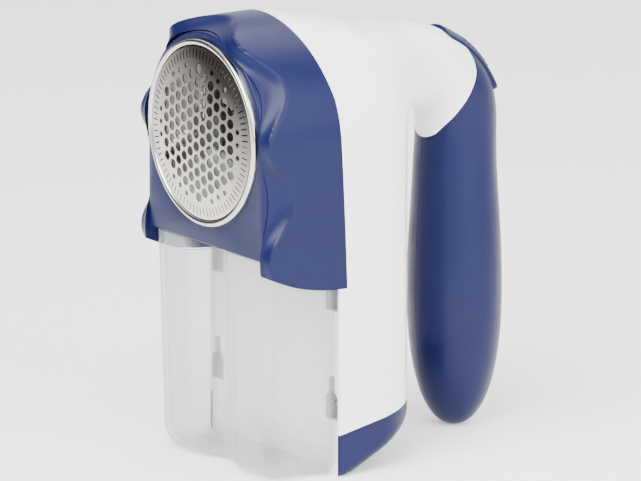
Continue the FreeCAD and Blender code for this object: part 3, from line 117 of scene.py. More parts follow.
class ShaverShape(bpy.types.PropertyGroup):
    hood_round: length("Hood rounding", "Rounding of the hood's wavy edge", 0.6)
    scoop_spacing: length("Scoop spacing", "Distance between finger scoops along the hood", 36.2)
    scoop_depth: length("Scoop depth", "How far back a finger scoop reaches", 10.6)
    neck_blend: length("Neck blend", "Softness of the join of body and neck", 12.0)
    hole_pitch: length("Hole pitch", "Distance between neighbouring foil holes", 4.0)
    hole_radius: length("Hole radius", "Radius of a foil hole", 1.55)
    small_hole_radius: length("Small hole radius", "Radius of the outermost foil holes", 0.85)
    slit_width: length("Slit width", "Width of a slit at the foil's edge", 0.42)
    slit_count: bpy.props.IntProperty(name="Slits", description="Slits round the foil", default=84, min=3)
    parting: length("Parting line", "Gap between moulded halves", 0.16)


class ShaverFinish(bpy.types.PropertyGroup):
    navy: colour("Navy", "Colour of the navy plastic", (0.0036, 0.0054, 0.040))
    white: colour("White", "Colour of the white plastic", (0.86, 0.85, 0.835))
    steel: colour("Foil", "Colour of the foil", (0.60, 0.56, 0.51))
    grain: share("Grain", "Strength of the moulded texture", 0.12)
    wear: share("Wear", "Strength of colour and gloss variation", 0.35)


# ---- solid forms as distance functions ----------------------------------------------------------
def smooth_union(a, b, soft):
    mix = np.clip(0.5 + 0.5 * (b - a) / soft, 0, 1)
    return b * (1 - mix) + a * mix - soft * mix * (1 - mix)


def smooth_cut(a, b, soft):
    return -smooth_union(-a, b, soft)


def round_meet(a, b, radius):
    """Where two forms overlap, with the edge between them rounded."""
    a, b = a + radius, b + radius
    return np.minimum(np.maximum(a, b), 0) + np.hypot(np.maximum(a, 0), np.maximum(b, 0)) - radius


def arch_form(x, z, centre_z, radius):
    """A round top of a radius on straight sides."""
    return np.where(z > centre_z, np.hypot(x, z - centre_z), np.abs(x)) - radius


def natural_spline(knots, values, wanted):
    """Cubic spline through values at knots, with free ends."""
    gaps = np.diff(knots)
    count = len(knots)
    matrix, right = np.eye(count), np.zeros((count, values.shape[1]))
    slopes = np.diff(values, axis=0) / gaps[:, None]
    for i in range(1, count - 1):
        matrix[i, i - 1 : i + 2] = gaps[i - 1], 2 * (gaps[i - 1] + gaps[i]), gaps[i]
        right[i] = 6 * (slopes[i] - slopes[i - 1])
    bend = np.linalg.solve(matrix, right)
    i = np.clip(np.searchsorted(knots, wanted) - 1, 0, count - 2)
    gap, t = gaps[i][:, None], (wanted - knots[i])[:, None]
    start, end = bend[i], bend[i + 1]
    rise = slopes[i] - gap * (2 * start + end) / 6
    return values[i] + t * rise + t**2 * start / 2 + t**3 * (end - start) / (6 * gap)


# depth, height, half width and half thickness of the neck and the upper handle
NECK_STATIONS = np.array(
    [
        (38.0, 117.9, 28.4, 18.0),
        (45.5, 117.8, 28.0, 17.6),
        (57.5, 117.6, 24.2, 16.2),
        (68.5, 117.5, 17.9, 14.6),
        (78.0, 117.0, 14.6, 12.9),
        (87.0, 113.0, 13.8, 12.0),
        (92.6, 105.0, 13.3, 12.7),
        (93.8, 95.0, 12.8, 12.8),
        (GRIP_DEPTH, 82.4, 13.2, 13.2),
        (GRIP_DEPTH, 68.4, 14.0, 14.0),
        (GRIP_DEPTH, 55.4, 14.7, 14.7),
        (GRIP_DEPTH, GRIP_THICK_Z, GRIP, GRIP),
    ]
)
STATION_GAPS = np.hypot(*np.diff(NECK_STATIONS[:, :2], axis=0).T)
NECK_KNOTS = np.concatenate([[0], np.cumsum(STATION_GAPS)])
SPINE_AT = np.linspace(0, NECK_KNOTS[-1], 180)
SPINE = natural_spline(NECK_KNOTS, NECK_STATIONS, SPINE_AT)
SPINE_TANGENT = np.gradient(SPINE[:, :2], SPINE_AT, axis=0)
SPINE_TANGENT /= np.linalg.norm(SPINE_TANGENT, axis=1)[:, None]


def grip_form(p):
    """Neck and handle: ellipses along the spine, closed below by a rounded tip."""
    x, depth, z = p.T
    result = np.empty(len(p))
    tip = (z < GRIP_THICK_Z) & (depth > 76)
    across = np.hypot(x[tip], depth[tip] - GRIP_DEPTH) / GRIP
    down = (GRIP_THICK_Z - z[tip]) / GRIP_THICK_Z
    power = 2.3
    result[tip] = ((across**power + down**power) ** (1 / power) - 1) * GRIP
    rest = np.flatnonzero(~tip)
    for part in np.array_split(rest, max(1, len(rest) // 60000)):
        plane = np.stack([depth[part], z[part]], 1)
        nearest = ((plane[:, None] - SPINE[None, :, :2]) ** 2).sum(2).argmin(1)
        offset = plane - SPINE[nearest, :2]
        along = np.clip((offset * SPINE_TANGENT[nearest]).sum(1), -1, 1)
        at = np.clip(SPINE_AT[nearest] + along, 0, SPINE_AT[-1])
        half_width, half_height = np.interp(at, SPINE_AT, SPINE[:, 2]), np.interp(at, SPINE_AT, SPINE[:, 3])
        side = offset[:, 0] * SPINE_TANGENT[nearest, 1] - offset[:, 1] * SPINE_TANGENT[nearest, 0]
        u, v = x[part] / half_width, side / half_height
        k0, k1 = np.hypot(u, v), np.hypot(u / half_width, v / half_height)
        body = k0 * (k0 - 1) / np.maximum(k1, 1e-6)
        beyond = np.where(nearest == 0, SPINE[0, 0] - depth[part], -1e3)
        result[part] = np.maximum(body, beyond)
    return result


def column_form(p):
    """The upright body: an arched front, round back corners and a slanted, rounded underside."""
    x, depth, z = p.T
    sink = 6.3 * np.clip(depth - COLUMN_FRONT, 0, None) / (COLUMN_BACK - COLUMN_FRONT)
    arch = arch_form(x, z, HEAD_Z - sink, HEAD_RADIUS)
    form = round_meet(arch, depth - COLUMN_BACK, 18.5)
    tail = ((depth - 30) * 14.5 - z * 29.5) / math.hypot(14.5, 29.5)
    form = round_meet(form, tail, 3.0)
    form = round_meet(form, -z, 1.5)
    return np.maximum(form, BODY_START - depth)


def body_form(p, soft):
    """Column and neck, with a wide fillet below the neck and a tight one above it."""
    below = np.clip((124 - p[:, 2]) / 14, 0, 1)
    return smooth_union(column_form(p), grip_form(p), 3 + (soft - 3) * below)


def hood_form(p, shape):
    """The arched hood: its front slopes back in waves, one scoop for each finger."""
    x, depth, z = p.T
    form = arch_form(x, z, HEAD_Z, HEAD_RADIUS)
    radial = np.where(z > HEAD_Z, np.hypot(x, z - HEAD_Z), np.abs(x))
    turn = np.arctan2(np.abs(x), z - HEAD_Z)
    round_part = HEAD_RADIUS * np.minimum(turn, math.pi / 2)
    along = round_part + np.clip(HEAD_Z - z, 0, None)
    wave = 0.5 + 0.5 * np.cos(2 * math.pi * along / (shape.scoop_spacing / MM))
    deep = 1.3 + (shape.scoop_depth / MM - 1.3) * wave
    out = np.clip((radial - 31.0) / (HEAD_RADIUS - 31.0), 0, 1.4)
    front = LIP + deep * out**0.45
    steep = np.hypot(1, 0.45 * deep / (HEAD_RADIUS - 31.0))
    return round_meet(form, (front - depth) / steep, shape.hood_round / MM)


def bin_form(p, inset, above):
    """The lint bin: drafted, with soft corners and a flute down its front."""
    x, depth, z = p.T
    low = 1 - np.clip(z, 0, BIN_TOP) / BIN_TOP
    front = BIN_FRONT + 1.6 * low
    back = BIN_HIGH[1] - FACE - 1.8
    widen = np.clip((depth - BIN_FRONT) / (COLUMN_FRONT - BIN_FRONT), 0, 1)
    half = 31.0 + 3.7 * widen - 1.2 * low
    sides = round_meet(np.abs(x) - half, front - depth, 6.5)
    form = round_meet(sides, -z, 7.5)
    reach = 5.8 - 9.5 + 1.6 * low
    flute = np.hypot(x, depth - BIN_FRONT - reach) - 9.5
    form = smooth_cut(form, flute, 3.5) + inset
    if above:
        return np.maximum(form, depth - back + inset)
    return np.maximum(np.maximum(form, depth - back), z - BIN_TOP)


# ---- meshes -------------------------------------------------------------------------------------
def surface(form, low, high, step):
    """Quads over the zero level of a form: one vertex in each crossed cell, moved onto the surface."""
    low = np.array(low, float)
    counts = np.ceil((np.array(high) - low) / step).astype(int) + 1
    grid = np.stack(np.meshgrid(*[np.arange(n) for n in counts], indexing="ij"), -1)
    value = form(low + grid.reshape(-1, 3) * step).reshape(counts)
    cells = counts - 1
    total, crossings = np.zeros((*cells, 3)), np.zeros(cells)
    for axis in range(3):
        unit = np.eye(3, dtype=int)[axis]
        for corner in np.ndindex(2, 2, 2):
            if corner[axis]:
                continue
            start = np.array(corner)
            near = value[tuple(slice(s, s + n) for s, n in zip(start, cells))]
            far = value[tuple(slice(s, s + n) for s, n in zip(start + unit, cells))]
            crossed = (near < 0) != (far < 0)
            share_along = np.where(crossed, near / np.where(crossed, near - far, 1), 0)
            total += crossed[..., None] * (start + share_along[..., None] * unit)
            crossings += crossed
    active = crossings > 0
    index = np.full(cells, -1)
    index[active] = np.arange(active.sum())
    points = low + step * (np.argwhere(active) + total[active] / crossings[active][:, None])
    quads = []
    for axis in range(3):
        u, v = (axis + 1) % 3, (axis + 2) % 3
        inner = [slice(1, n - 1) for n in counts]
        near_at, far_at = list(inner), list(inner)
        near_at[axis], far_at[axis] = slice(0, counts[axis] - 1), slice(1, counts[axis])
        near, far = value[tuple(near_at)] < 0, value[tuple(far_at)] < 0
        edge = np.argwhere(near != far)
        outward = near[near != far]
        edge[:, u] += 1
        edge[:, v] += 1
        ring = []
        for du, dv in ((1, 1), (0, 1), (0, 0), (1, 0)):
            cell = edge.copy()
            cell[:, u] -= du
            cell[:, v] -= dv
            ring.append(index[tuple(cell.T)])
        ring = np.stack(ring, 1)
        ring[~outward] = ring[~outward][:, ::-1]
        quads.append(ring)
    nudge = 0.02 * step
    for _ in range(4):
        slope = [(form(points + nudge * e) - form(points - nudge * e)) / (2 * nudge) for e in np.eye(3)]
        slope = np.stack(slope, 1)
        move = slope * (form(points) / np.maximum((slope**2).sum(1), 0.05))[:, None]
        size = np.linalg.norm(move, axis=1)[:, None]
        points = points - move * np.minimum(1, 0.5 * step / np.maximum(size, 1e-9))
    return points, np.concatenate(quads)


def new_piece(name, points, faces):
    """A mesh object from points in millimetres."""
    points = (np.asarray(points, float) + (0, FACE, 0)) * MM
    mesh = bpy.data.meshes.new(name)
    mesh.from_pydata(points.tolist(), [], [list(map(int, f)) for f in faces])
    mesh.update()
    piece = bpy.data.objects.new(name, mesh)
    bpy.context.scene.collection.objects.link(piece)
    return piece


def signed_area(outline):
    """Twice the area inside an outline, negative when it runs clockwise."""
    return sum(a[0] * b[1] - b[0] * a[1] for a, b in zip(outline, outline[1:] + outline[:1]))


def prism(corners, turned):
    """A closed block from the corners of its two equal ends, with its faces turned round or not."""
    count = len(corners) // 2
    rim = list(range(count))
    faces = [rim, [count + i for i in reversed(rim)]]
    faces += [[(i + 1) % count, i, count + i, count + (i + 1) % count] for i in rim]
    if turned:
        faces = [face[::-1] for face in faces]
    return new_piece("tool", corners, faces)


def side_block(outline, start=-60.0, end=60.0):
    """A block from one x to another with a (depth, z) outline."""
    corners = [(x, d, z) for x in (start, end) for d, z in outline]
    return prism(corners, signed_area(outline) > 0)


def front_block(outline, start, end):
    """A block from one depth to another with an (x, z) outline."""
    corners = [(x, d, z) for d in (start, end) for x, z in outline]
    return prism(corners, signed_area(outline) < 0)


def ring(name, profile, turns=128):
    """A closed (radius, depth) profile turned about the cutter's axis."""
    points, faces, count = [], [], len(profile)
    for i in range(turns):
        angle = 2 * math.pi * i / turns
        points += [(r * math.cos(angle), d, HEAD_Z + r * math.sin(angle)) for r, d in profile]
        here, there = i * count, ((i + 1) % turns) * count
        for j in range(count):
            after = (j + 1) % count
            faces.append((here + j, here + after, there + after, there + j))
    return new_piece(name, points, faces)


def arch_outline(radius, foot, segments=64):
    turn = [math.pi * i / segments for i in range(segments + 1)]
    arc = [(radius * math.cos(a), HEAD_Z + radius * math.sin(a)) for a in turn]
    return arc + [(-radius, foot), (radius, foot)]


def carve(piece, tools, operation="DIFFERENCE"):
    """Cuts or trims a piece by other closed meshes, which are used up."""
    for tool in tools:
        cutter = piece.modifiers.new("carve", "BOOLEAN")
        cutter.operation, cutter.object, cutter.solver = operation, tool, "EXACT"
        bake(piece)
        bpy.data.objects.remove(tool)
    return piece


def bake(piece):
    """Turns a piece with modifiers into a plain mesh."""
    bpy.context.view_layer.update()
    evaluated = piece.evaluated_get(bpy.context.evaluated_depsgraph_get())
    mesh = bpy.data.meshes.new_from_object(evaluated)
    piece.modifiers.clear()
    piece.data = mesh
    mesh.name = piece.name


def shade(piece, sharp_degrees=32):
    """Smooth shading with creases where faces meet at more than an angle."""
    mesh = bmesh.new()
    mesh.from_mesh(piece.data)
    bmesh.ops.remove_doubles(mesh, verts=mesh.verts, dist=1e-7)
    bmesh.ops.dissolve_degenerate(mesh, edges=mesh.edges, dist=1e-6)
    limit = math.radians(sharp_degrees)
    for edge in mesh.edges:
        edge.smooth = len(edge.link_faces) == 2 and edge.calc_face_angle(0) < limit
    for face in mesh.faces:
        face.smooth = True
    mesh.to_mesh(piece.data)
    mesh.free()
    return piece


def copy_of(piece, name):
    twin = piece.copy()
    twin.data = piece.data.copy()
    twin.name = twin.data.name = name
    bpy.context.scene.collection.objects.link(twin)
    return twin


def finish_piece(piece, material, body, slot, *nodes):
    """Gives a piece its material and its body, and hides the CAD nodes it stands in for."""
    piece.data.materials.clear()
    piece.data.materials.append(material)
    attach(piece, body)
    if nodes:
        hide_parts(*nodes)
    return piece


# ---- materials ----------------------------------------------------------------------------------
def node_material(name):
    material = bpy.data.materials.new(name)
    material.use_nodes = True
    nodes, links = material.node_tree.nodes, material.node_tree.links
    return material, nodes, links, nodes["Principled BSDF"]


def noise(nodes, links, scale, detail=2.0, stretch=(1, 1, 1)):
    """Noise over the object's own coordinates."""
    place = nodes.new("ShaderNodeTexCoord")
    mapping = nodes.new("ShaderNodeMapping")
    mapping.inputs["Scale"].default_value = stretch
    texture = nodes.new("ShaderNodeTexNoise")
    texture.inputs["Scale"].default_value = scale
    texture.inputs["Detail"].default_value = detail
    links.new(place.outputs["Object"], mapping.inputs["Vector"])
    links.new(mapping.outputs["Vector"], texture.inputs["Vector"])
    return texture.outputs["Fac"]


def vary_colour(nodes, links, shader, source, base, spread):
    ramp = nodes.new("ShaderNodeValToRGB")
    for stop, factor in zip(ramp.color_ramp.elements, (1 - spread, 1 + spread)):
        stop.color = (*[min(1, c * factor) for c in base], 1)
    ramp.color_ramp.elements[0].position, ramp.color_ramp.elements[1].position = 0.3, 0.7
    links.new(source, ramp.inputs["Fac"])
    links.new(ramp.outputs["Color"], shader.inputs["Base Color"])


def vary_roughness(nodes, links, shader, source, low, high):
    scale = nodes.new("ShaderNodeMapRange")
    scale.inputs["From Min"].default_value, scale.inputs["From Max"].default_value = 0.3, 0.7
    scale.inputs["To Min"].default_value, scale.inputs["To Max"].default_value = low, high
    links.new(source, scale.inputs["Value"])
    links.new(scale.outputs["Result"], shader.inputs["Roughness"])


def add_bump(nodes, links, shader, source, strength, distance):
    bump = nodes.new("ShaderNodeBump")
    bump.inputs["Strength"].default_value = strength
    bump.inputs["Distance"].default_value = distance
    links.new(source, bump.inputs["Height"])
    links.new(bump.outputs["Normal"], shader.inputs["Normal"])


def plastic(name, base, rough, grain=0.1, spread=0.06, coat=0.0, grain_scale=1800, ior=1.5):
    """Moulded plastic with a fine texture and slow changes of tone and gloss."""
    material, nodes, links, shader = node_material(name)
    vary_colour(nodes, links, shader, noise(nodes, links, 45, 3), base, spread)
    vary_roughness(nodes, links, shader, noise(nodes, links, 130, 4), rough - 0.05, rough + 0.06)
    add_bump(nodes, links, shader, noise(nodes, links, grain_scale, 3), grain, 0.00003)
    shader.inputs["IOR"].default_value = ior
    shader.inputs["Coat Weight"].default_value = coat
    shader.inputs["Coat Roughness"].default_value = 0.08
    return material


def metal(name, base, rough, stretch=(1, 1, 1), scale=600, grain=0.15):
    """Metal with drawn or ground marks along the shortest stretch."""
    material, nodes, links, shader = node_material(name)
    shader.inputs["Metallic"].default_value = 1.0
    marks = noise(nodes, links, scale, 4, stretch)
    vary_colour(nodes, links, shader, noise(nodes, links, 90, 3), base, 0.08)
    vary_roughness(nodes, links, shader, marks, rough - 0.06, rough + 0.08)
    add_bump(nodes, links, shader, marks, grain, 0.00002)
    return material


def foil_metal_painted_reflection(name, base):
    """Rolled steel with a painted reflection: its colour darkens towards the top, as the foil does when it mirrors
    a room.
    """
    material, nodes, links, shader = node_material(name)
    shader.inputs["Metallic"].default_value = 1.0
    place = nodes.new("ShaderNodeTexCoord")
    rise = nodes.new("ShaderNodeVectorMath")
    rise.operation = "DOT_PRODUCT"
    rise.inputs[1].default_value = (0.45, 0, 0.9)
    links.new(place.outputs["Object"], rise.inputs[0])
    ramp = nodes.new("ShaderNodeValToRGB")
    scale = nodes.new("ShaderNodeMapRange")
    low, high = 0.9 * (HEAD_Z - 17) * MM, 0.9 * (HEAD_Z + 24) * MM
    scale.inputs["From Min"].default_value, scale.inputs["From Max"].default_value = low, high
    links.new(rise.outputs["Value"], scale.inputs["Value"])
    links.new(scale.outputs["Result"], ramp.inputs["Fac"])
    # painted reflection: the colour falls from the foil's own below to a twentieth of it towards the top
    painted_reflection_dark = [0.05 * c for c in base]
    for stop, tone in zip(ramp.color_ramp.elements, (base, painted_reflection_dark)):
        stop.color = (*tone, 1)
    links.new(ramp.outputs["Color"], shader.inputs["Base Color"])
    marks = noise(nodes, links, 420, 4)
    vary_roughness(nodes, links, shader, marks, 0.2, 0.32)
    add_bump(nodes, links, shader, marks, 0.1, 0.00002)
    return material


def clear_plastic(name):
    """Transparent styrene: clear face on, milkier where a wall is seen along its length."""
    material, nodes, links, shader = node_material(name)
    vary_colour(nodes, links, shader, noise(nodes, links, 30, 2), (0.40, 0.42, 0.44), 0.02)
    vary_roughness(nodes, links, shader, noise(nodes, links, 60, 3), 0.02, 0.05)
    add_bump(nodes, links, shader, noise(nodes, links, 40, 2), 0.05, 0.0002)
    facing = nodes.new("ShaderNodeLayerWeight")
    facing.inputs["Blend"].default_value = 0.30
    scale = nodes.new("ShaderNodeMapRange")
    scale.inputs["To Min"].default_value, scale.inputs["To Max"].default_value = 0.035, 1.0
    links.new(facing.outputs["Facing"], scale.inputs["Value"])
    links.new(scale.outputs["Result"], shader.inputs["Alpha"])
    shader.inputs["Transmission Weight"].default_value = 0.3
    shader.inputs["IOR"].default_value = 1.45
    return material


# ---- pieces -------------------------------------------------------------------------------------
made = {}


def material_for(slot):
    """The finish of one of the record's material slots, made once."""
    if slot not in made:
        finish = bpy.context.scene.shaver_finish
        navy, white, steel = tuple(finish.navy), tuple(finish.white), tuple(finish.steel)
        spread = 0.2 * finish.wear
        makers = {
            "navy_plastic": lambda: plastic("navy_plastic", navy, 0.33, finish.grain, spread, ior=1.28),
            "white_plastic": lambda: plastic("white_plastic", white, 0.27, 0.03, 0.2 * spread, 0.35, 900),
            "clear_plastic": lambda: clear_plastic("clear_plastic"),
            "foil_steel": lambda: foil_metal_painted_reflection("foil_steel", steel),
            "rim_chrome": lambda: metal("rim_chrome", (0.6, 0.58, 0.54), 0.16, grain=0.03),
            "blade_steel": lambda: metal("blade_steel", (0.6, 0.6, 0.6), 0.3, (1, 8, 1)),
            "inner_plastic": lambda: plastic("inner_plastic", (0.6, 0.6, 0.58), 0.45, 0.1),
            "black_plastic": lambda: plastic("black_plastic", (0.02, 0.02, 0.022), 0.45, 0.2),
            "motor_steel": lambda: metal("motor_steel", (0.5, 0.5, 0.49), 0.34, (1, 0.1, 1)),
            "magnet": lambda: plastic("magnet", (0.05, 0.05, 0.05), 0.6, 0.4),
            "armature": lambda: metal("armature", (0.5, 0.26, 0.14), 0.4, (1, 6, 1)),
            "bushing": lambda: metal("bushing", (0.6, 0.45, 0.22), 0.4),
            "contact_metal": lambda: metal("contact_metal", (0.66, 0.63, 0.55), 0.25),
            "cell_wrapper": lambda: plastic("cell_wrapper", (0.09, 0.11, 0.12), 0.3, 0.05, 0.05, 0.3),
            "screw_steel": lambda: metal("screw_steel", (0.42, 0.42, 0.42), 0.35),
            "red_wire": lambda: plastic("red_wire", (0.4, 0.02, 0.02), 0.4, 0.05),
            "black_wire": lambda: plastic("black_wire", (0.015, 0.015, 0.015), 0.4, 0.05),
        }
        made[slot] = makers[slot]()
    return made[slot]


def hood_outline(gap=0.0):
    """The hood's side view, (depth, z), behind and above its slanted edges."""
    front, back = LIP - 3, 28.3
    turn = [i / 14 for i in range(15)]
    lower = [(LIP + t * (back - LIP), 59.3 - gap + 7.2 * (1 - t) ** 2.2) for t in turn]
    lower[-1] = (back + gap, 59.3 - gap)
    return [(front, lower[0][1])] + lower + [
        (27.6 + gap, 78.0),
        (26.7 + gap, 96.0),
        (25.4 + gap, 118.0),
        (22.6 + gap, 133.0),
        (20.6 + gap, 141.5),
        (20.6 + gap, 150.0),
        (front, 150.0),
    ]


def build_hood(shape):
    points, faces = surface(lambda p: hood_form(p, shape), (-38, -4, 54), (38, 33, 144), 0.8)
    hood = new_piece("hood_shell", points, faces)
    carve(hood, [side_block(hood_outline())], "INTERSECT")
    mouth = front_block(arch_outline(31.4, 40), LIP - 2, 12.5)
    cavity = front_block(arch_outline(33.1, 40), 12.4, 40)
    carve(hood, [mouth, cavity])
    shade(hood)
    finish_piece(hood, material_for("navy_plastic"), "root", "navy_plastic", "hood")


def build_cover():
    """The plate that frames the foil, with its skirt."""
    radius, foot = COVER_HIGH[0], COVER_LOW[2]
    plate = front_block(arch_outline(radius, foot), 0, COVER_HIGH[1] - FACE)
    inside = front_block(arch_outline(radius - 1.8, foot - 5), 2.5, 30)
    turn = [2 * math.pi * i / 96 for i in range(96)]
    window_edge = [(27.0 * math.cos(a), HEAD_Z + 27.0 * math.sin(a)) for a in turn]
    plate.name = "foil_cover_plate"
    carve(plate, [inside, front_block(window_edge, -5, 5)])
    bevel = plate.modifiers.new("soft edges", "BEVEL")
    bevel.width, bevel.segments, bevel.limit_method = 0.5 * MM, 3, "ANGLE"
    bevel.angle_limit = math.radians(50)
    bake(plate)
    shade(plate)
    finish_piece(plate, material_for("navy_plastic"), "head_cover", "navy_plastic", "foil_cover")


def build_rim():
    """The bright ring round the foil: a rounded profile turned about the cutter axis."""
    outer, inner = RIM_HIGH[0], RIM_HIGH[0] - 2.0
    front, back = RIM_LOW[1] - FACE, RIM_HIGH[1] - FACE
    middle, half = (outer + inner) / 2, (outer - inner) / 2
    arc = [math.pi * i / 10 for i in range(11)]
    profile = [(middle + half * math.cos(a), front + 1.0 - 1.0 * math.sin(a)) for a in arc]
    profile = [(outer, back)] + profile + [(inner, back)]
    rim = shade(ring("foil_rim_ring", profile), 50)
    finish_piece(rim, material_for("rim_chrome"), "head_cover", "rim_chrome", "foil_rim")


def add_node(tree, kind, **inputs):
    """A node with its inputs linked or set, each by name, or by number as i0, i1 and so on."""
    node = tree.nodes.new(kind)
    for name, given in inputs.items():
        socket = node.inputs[int(name[1:])] if name[0] == "i" and name[1:].isdigit() else node.inputs[name]
        if hasattr(given, "is_output"):
            tree.links.new(given, socket)
        else:
            socket.default_value = given
    return node


def calc(tree, operation, a, b=0.0, c=0.0):
    """The output of a math node."""
    node = add_node(tree, "ShaderNodeMath", i0=a, i1=b, i2=c)
    node.operation = operation
    return node.outputs[0]


def foil_tree(material):
    """Geometry nodes: a disc with round holes and radial slits, domed and given its thickness."""
    tree = bpy.data.node_groups.new("perforated_foil", "GeometryNodeTree")
    face = tree.interface
    for name, default in (
        ("Radius", 26.7),
        ("Hole Pitch", 4.0),
        ("Hole Radius", 1.4),
        ("Small Hole Radius", 0.85),
        ("Field Radius", 21.9),
        ("Slit Start", 23.1),
        ("Slit Length", 2.6),
        ("Slit Width", 0.42),
        ("Dome", 1.8),
        ("Edge Depth", -1.5),
        ("Axis Height", 105.0),
        ("Thickness", 0.35),
    ):
        face.new_socket(name, in_out="INPUT", socket_type="NodeSocketFloat").default_value = default
    face.new_socket("Slit Count", in_out="INPUT", socket_type="NodeSocketInt").default_value = 84
    face.new_socket("Geometry", in_out="OUTPUT", socket_type="NodeSocketGeometry")
    given = tree.nodes.new("NodeGroupInput").outputs
    # points of a triangular grid inside the perforated field
    span = {"Size X": 16.0, "Size Y": 16.0, "Vertices X": 17, "Vertices Y": 17}
    grid = add_node(tree, "GeometryNodeMeshGrid", **span)
    where = tree.nodes.new("GeometryNodeInputPosition")
    split = add_node(tree, "ShaderNodeSeparateXYZ", Vector=where.outputs[0])
    pitch = given["Hole Pitch"]
    across = calc(tree, "MULTIPLY", calc(tree, "MULTIPLY", split.outputs[0], math.sqrt(0.75)), pitch)
    up = calc(tree, "MULTIPLY", calc(tree, "MULTIPLY_ADD", split.outputs[0], 0.5, split.outputs[1]), pitch)
    flat = add_node(tree, "ShaderNodeCombineXYZ", X=across, Y=up)
    field = add_node(tree, "GeometryNodeSetPosition", Geometry=grid.outputs[0], Position=flat.outputs[0])
    spot = tree.nodes.new("GeometryNodeInputPosition")
    far = tree.nodes.new("ShaderNodeVectorMath")
    far.operation = "LENGTH"
    tree.links.new(spot.outputs[0], far.inputs[0])
    radius_here = far.outputs["Value"]
    outside = calc(tree, "GREATER_THAN", radius_here, given["Field Radius"])
    kept = add_node(tree, "GeometryNodeDeleteGeometry", Geometry=field.outputs[0], Selection=outside)
    edge_zone = calc(tree, "SUBTRACT", given["Field Radius"], calc(tree, "MULTIPLY", pitch, 0.45))
    is_edge = calc(tree, "GREATER_THAN", radius_here, edge_zone)
    smaller = calc(tree, "SUBTRACT", given["Small Hole Radius"], given["Hole Radius"])
    size = calc(tree, "MULTIPLY_ADD", is_edge, smaller, given["Hole Radius"])
    circle = add_node(tree, "GeometryNodeCurvePrimitiveCircle", Resolution=20, Radius=1.0)
    holes = add_node(
        tree,
        "GeometryNodeInstanceOnPoints",
        Points=kept.outputs[0],
        Instance=circle.outputs[0],
        Scale=size,
    )
    # slits as thin rectangles round the edge
    ring_radius = calc(tree, "MULTIPLY_ADD", given["Slit Length"], 0.5, given["Slit Start"])
    ring = add_node(tree, "GeometryNodeMeshCircle", Vertices=given["Slit Count"], Radius=ring_radius)
    slit = add_node(tree, "GeometryNodeCurvePrimitiveQuadrilateral")
    tree.links.new(given["Slit Length"], slit.inputs["Width"])
    tree.links.new(given["Slit Width"], slit.inputs["Height"])
    spot_two = tree.nodes.new("GeometryNodeInputPosition")
    facing = add_node(tree, "FunctionNodeAlignRotationToVector", Vector=spot_two.outputs[0])
    facing.axis = "X"
    slits = add_node(
        tree,
        "GeometryNodeInstanceOnPoints",
        Points=ring.outputs[0],
        Instance=slit.outputs[0],
        Rotation=facing.outputs[0],
    )
    edge = add_node(tree, "GeometryNodeCurvePrimitiveCircle", Resolution=144)
    tree.links.new(given["Radius"], edge.inputs["Radius"])
    join = tree.nodes.new("GeometryNodeJoinGeometry")
    for part in (edge, holes, slits):
        tree.links.new(part.outputs[0], join.inputs[0])
    real_curves = add_node(tree, "GeometryNodeRealizeInstances", Geometry=join.outputs[0])
    fill = add_node(tree, "GeometryNodeFillCurve", Curve=real_curves.outputs[0])
    # dome: depth falls with the square of the distance from the axis
    plane = tree.nodes.new("GeometryNodeInputPosition")
    sides = add_node(tree, "ShaderNodeSeparateXYZ", Vector=plane.outputs[0])
    x_part, z_part = sides.outputs[0], sides.outputs[1]
    squares = calc(tree, "MULTIPLY_ADD", x_part, x_part, calc(tree, "MULTIPLY", z_part, z_part))
    full = calc(tree, "MULTIPLY", given["Radius"], given["Radius"])
    fall = calc(tree, "MULTIPLY", calc(tree, "DIVIDE", squares, full), given["Dome"])
    front = calc(tree, "SUBTRACT", given["Edge Depth"], given["Dome"])
    depth = calc(tree, "ADD", fall, front)
    height = calc(tree, "ADD", z_part, given["Axis Height"])
    domed_at = add_node(tree, "ShaderNodeCombineXYZ", X=x_part, Y=depth, Z=height)
    domed = add_node(tree, "GeometryNodeSetPosition", Geometry=fill.outputs[0], Position=domed_at.outputs[0])
    back = add_node(tree, "ShaderNodeCombineXYZ", X=0.0, Y=given["Thickness"], Z=0.0)
    thick = add_node(
        tree,
        "GeometryNodeExtrudeMesh",
        Mesh=domed.outputs[0],
        Offset=back.outputs[0],
        Individual=False,
    )
    thick.inputs["Offset Scale"].default_value = 1.0
    flipped = add_node(tree, "GeometryNodeFlipFaces", Mesh=domed.outputs[0])
    whole = tree.nodes.new("GeometryNodeJoinGeometry")
    tree.links.new(thick.outputs[0], whole.inputs[0])
    tree.links.new(flipped.outputs[0], whole.inputs[0])
    merged = add_node(tree, "GeometryNodeMergeByDistance", Geometry=whole.outputs[0], Distance=0.0001)
    real = add_node(tree, "GeometryNodeRealizeInstances", Geometry=merged.outputs[0])
    painted = add_node(tree, "GeometryNodeSetMaterial", Geometry=real.outputs[0], Material=material)
    out = tree.nodes.new("NodeGroupOutput")
    tree.links.new(painted.outputs[0], out.inputs[0])
    return tree


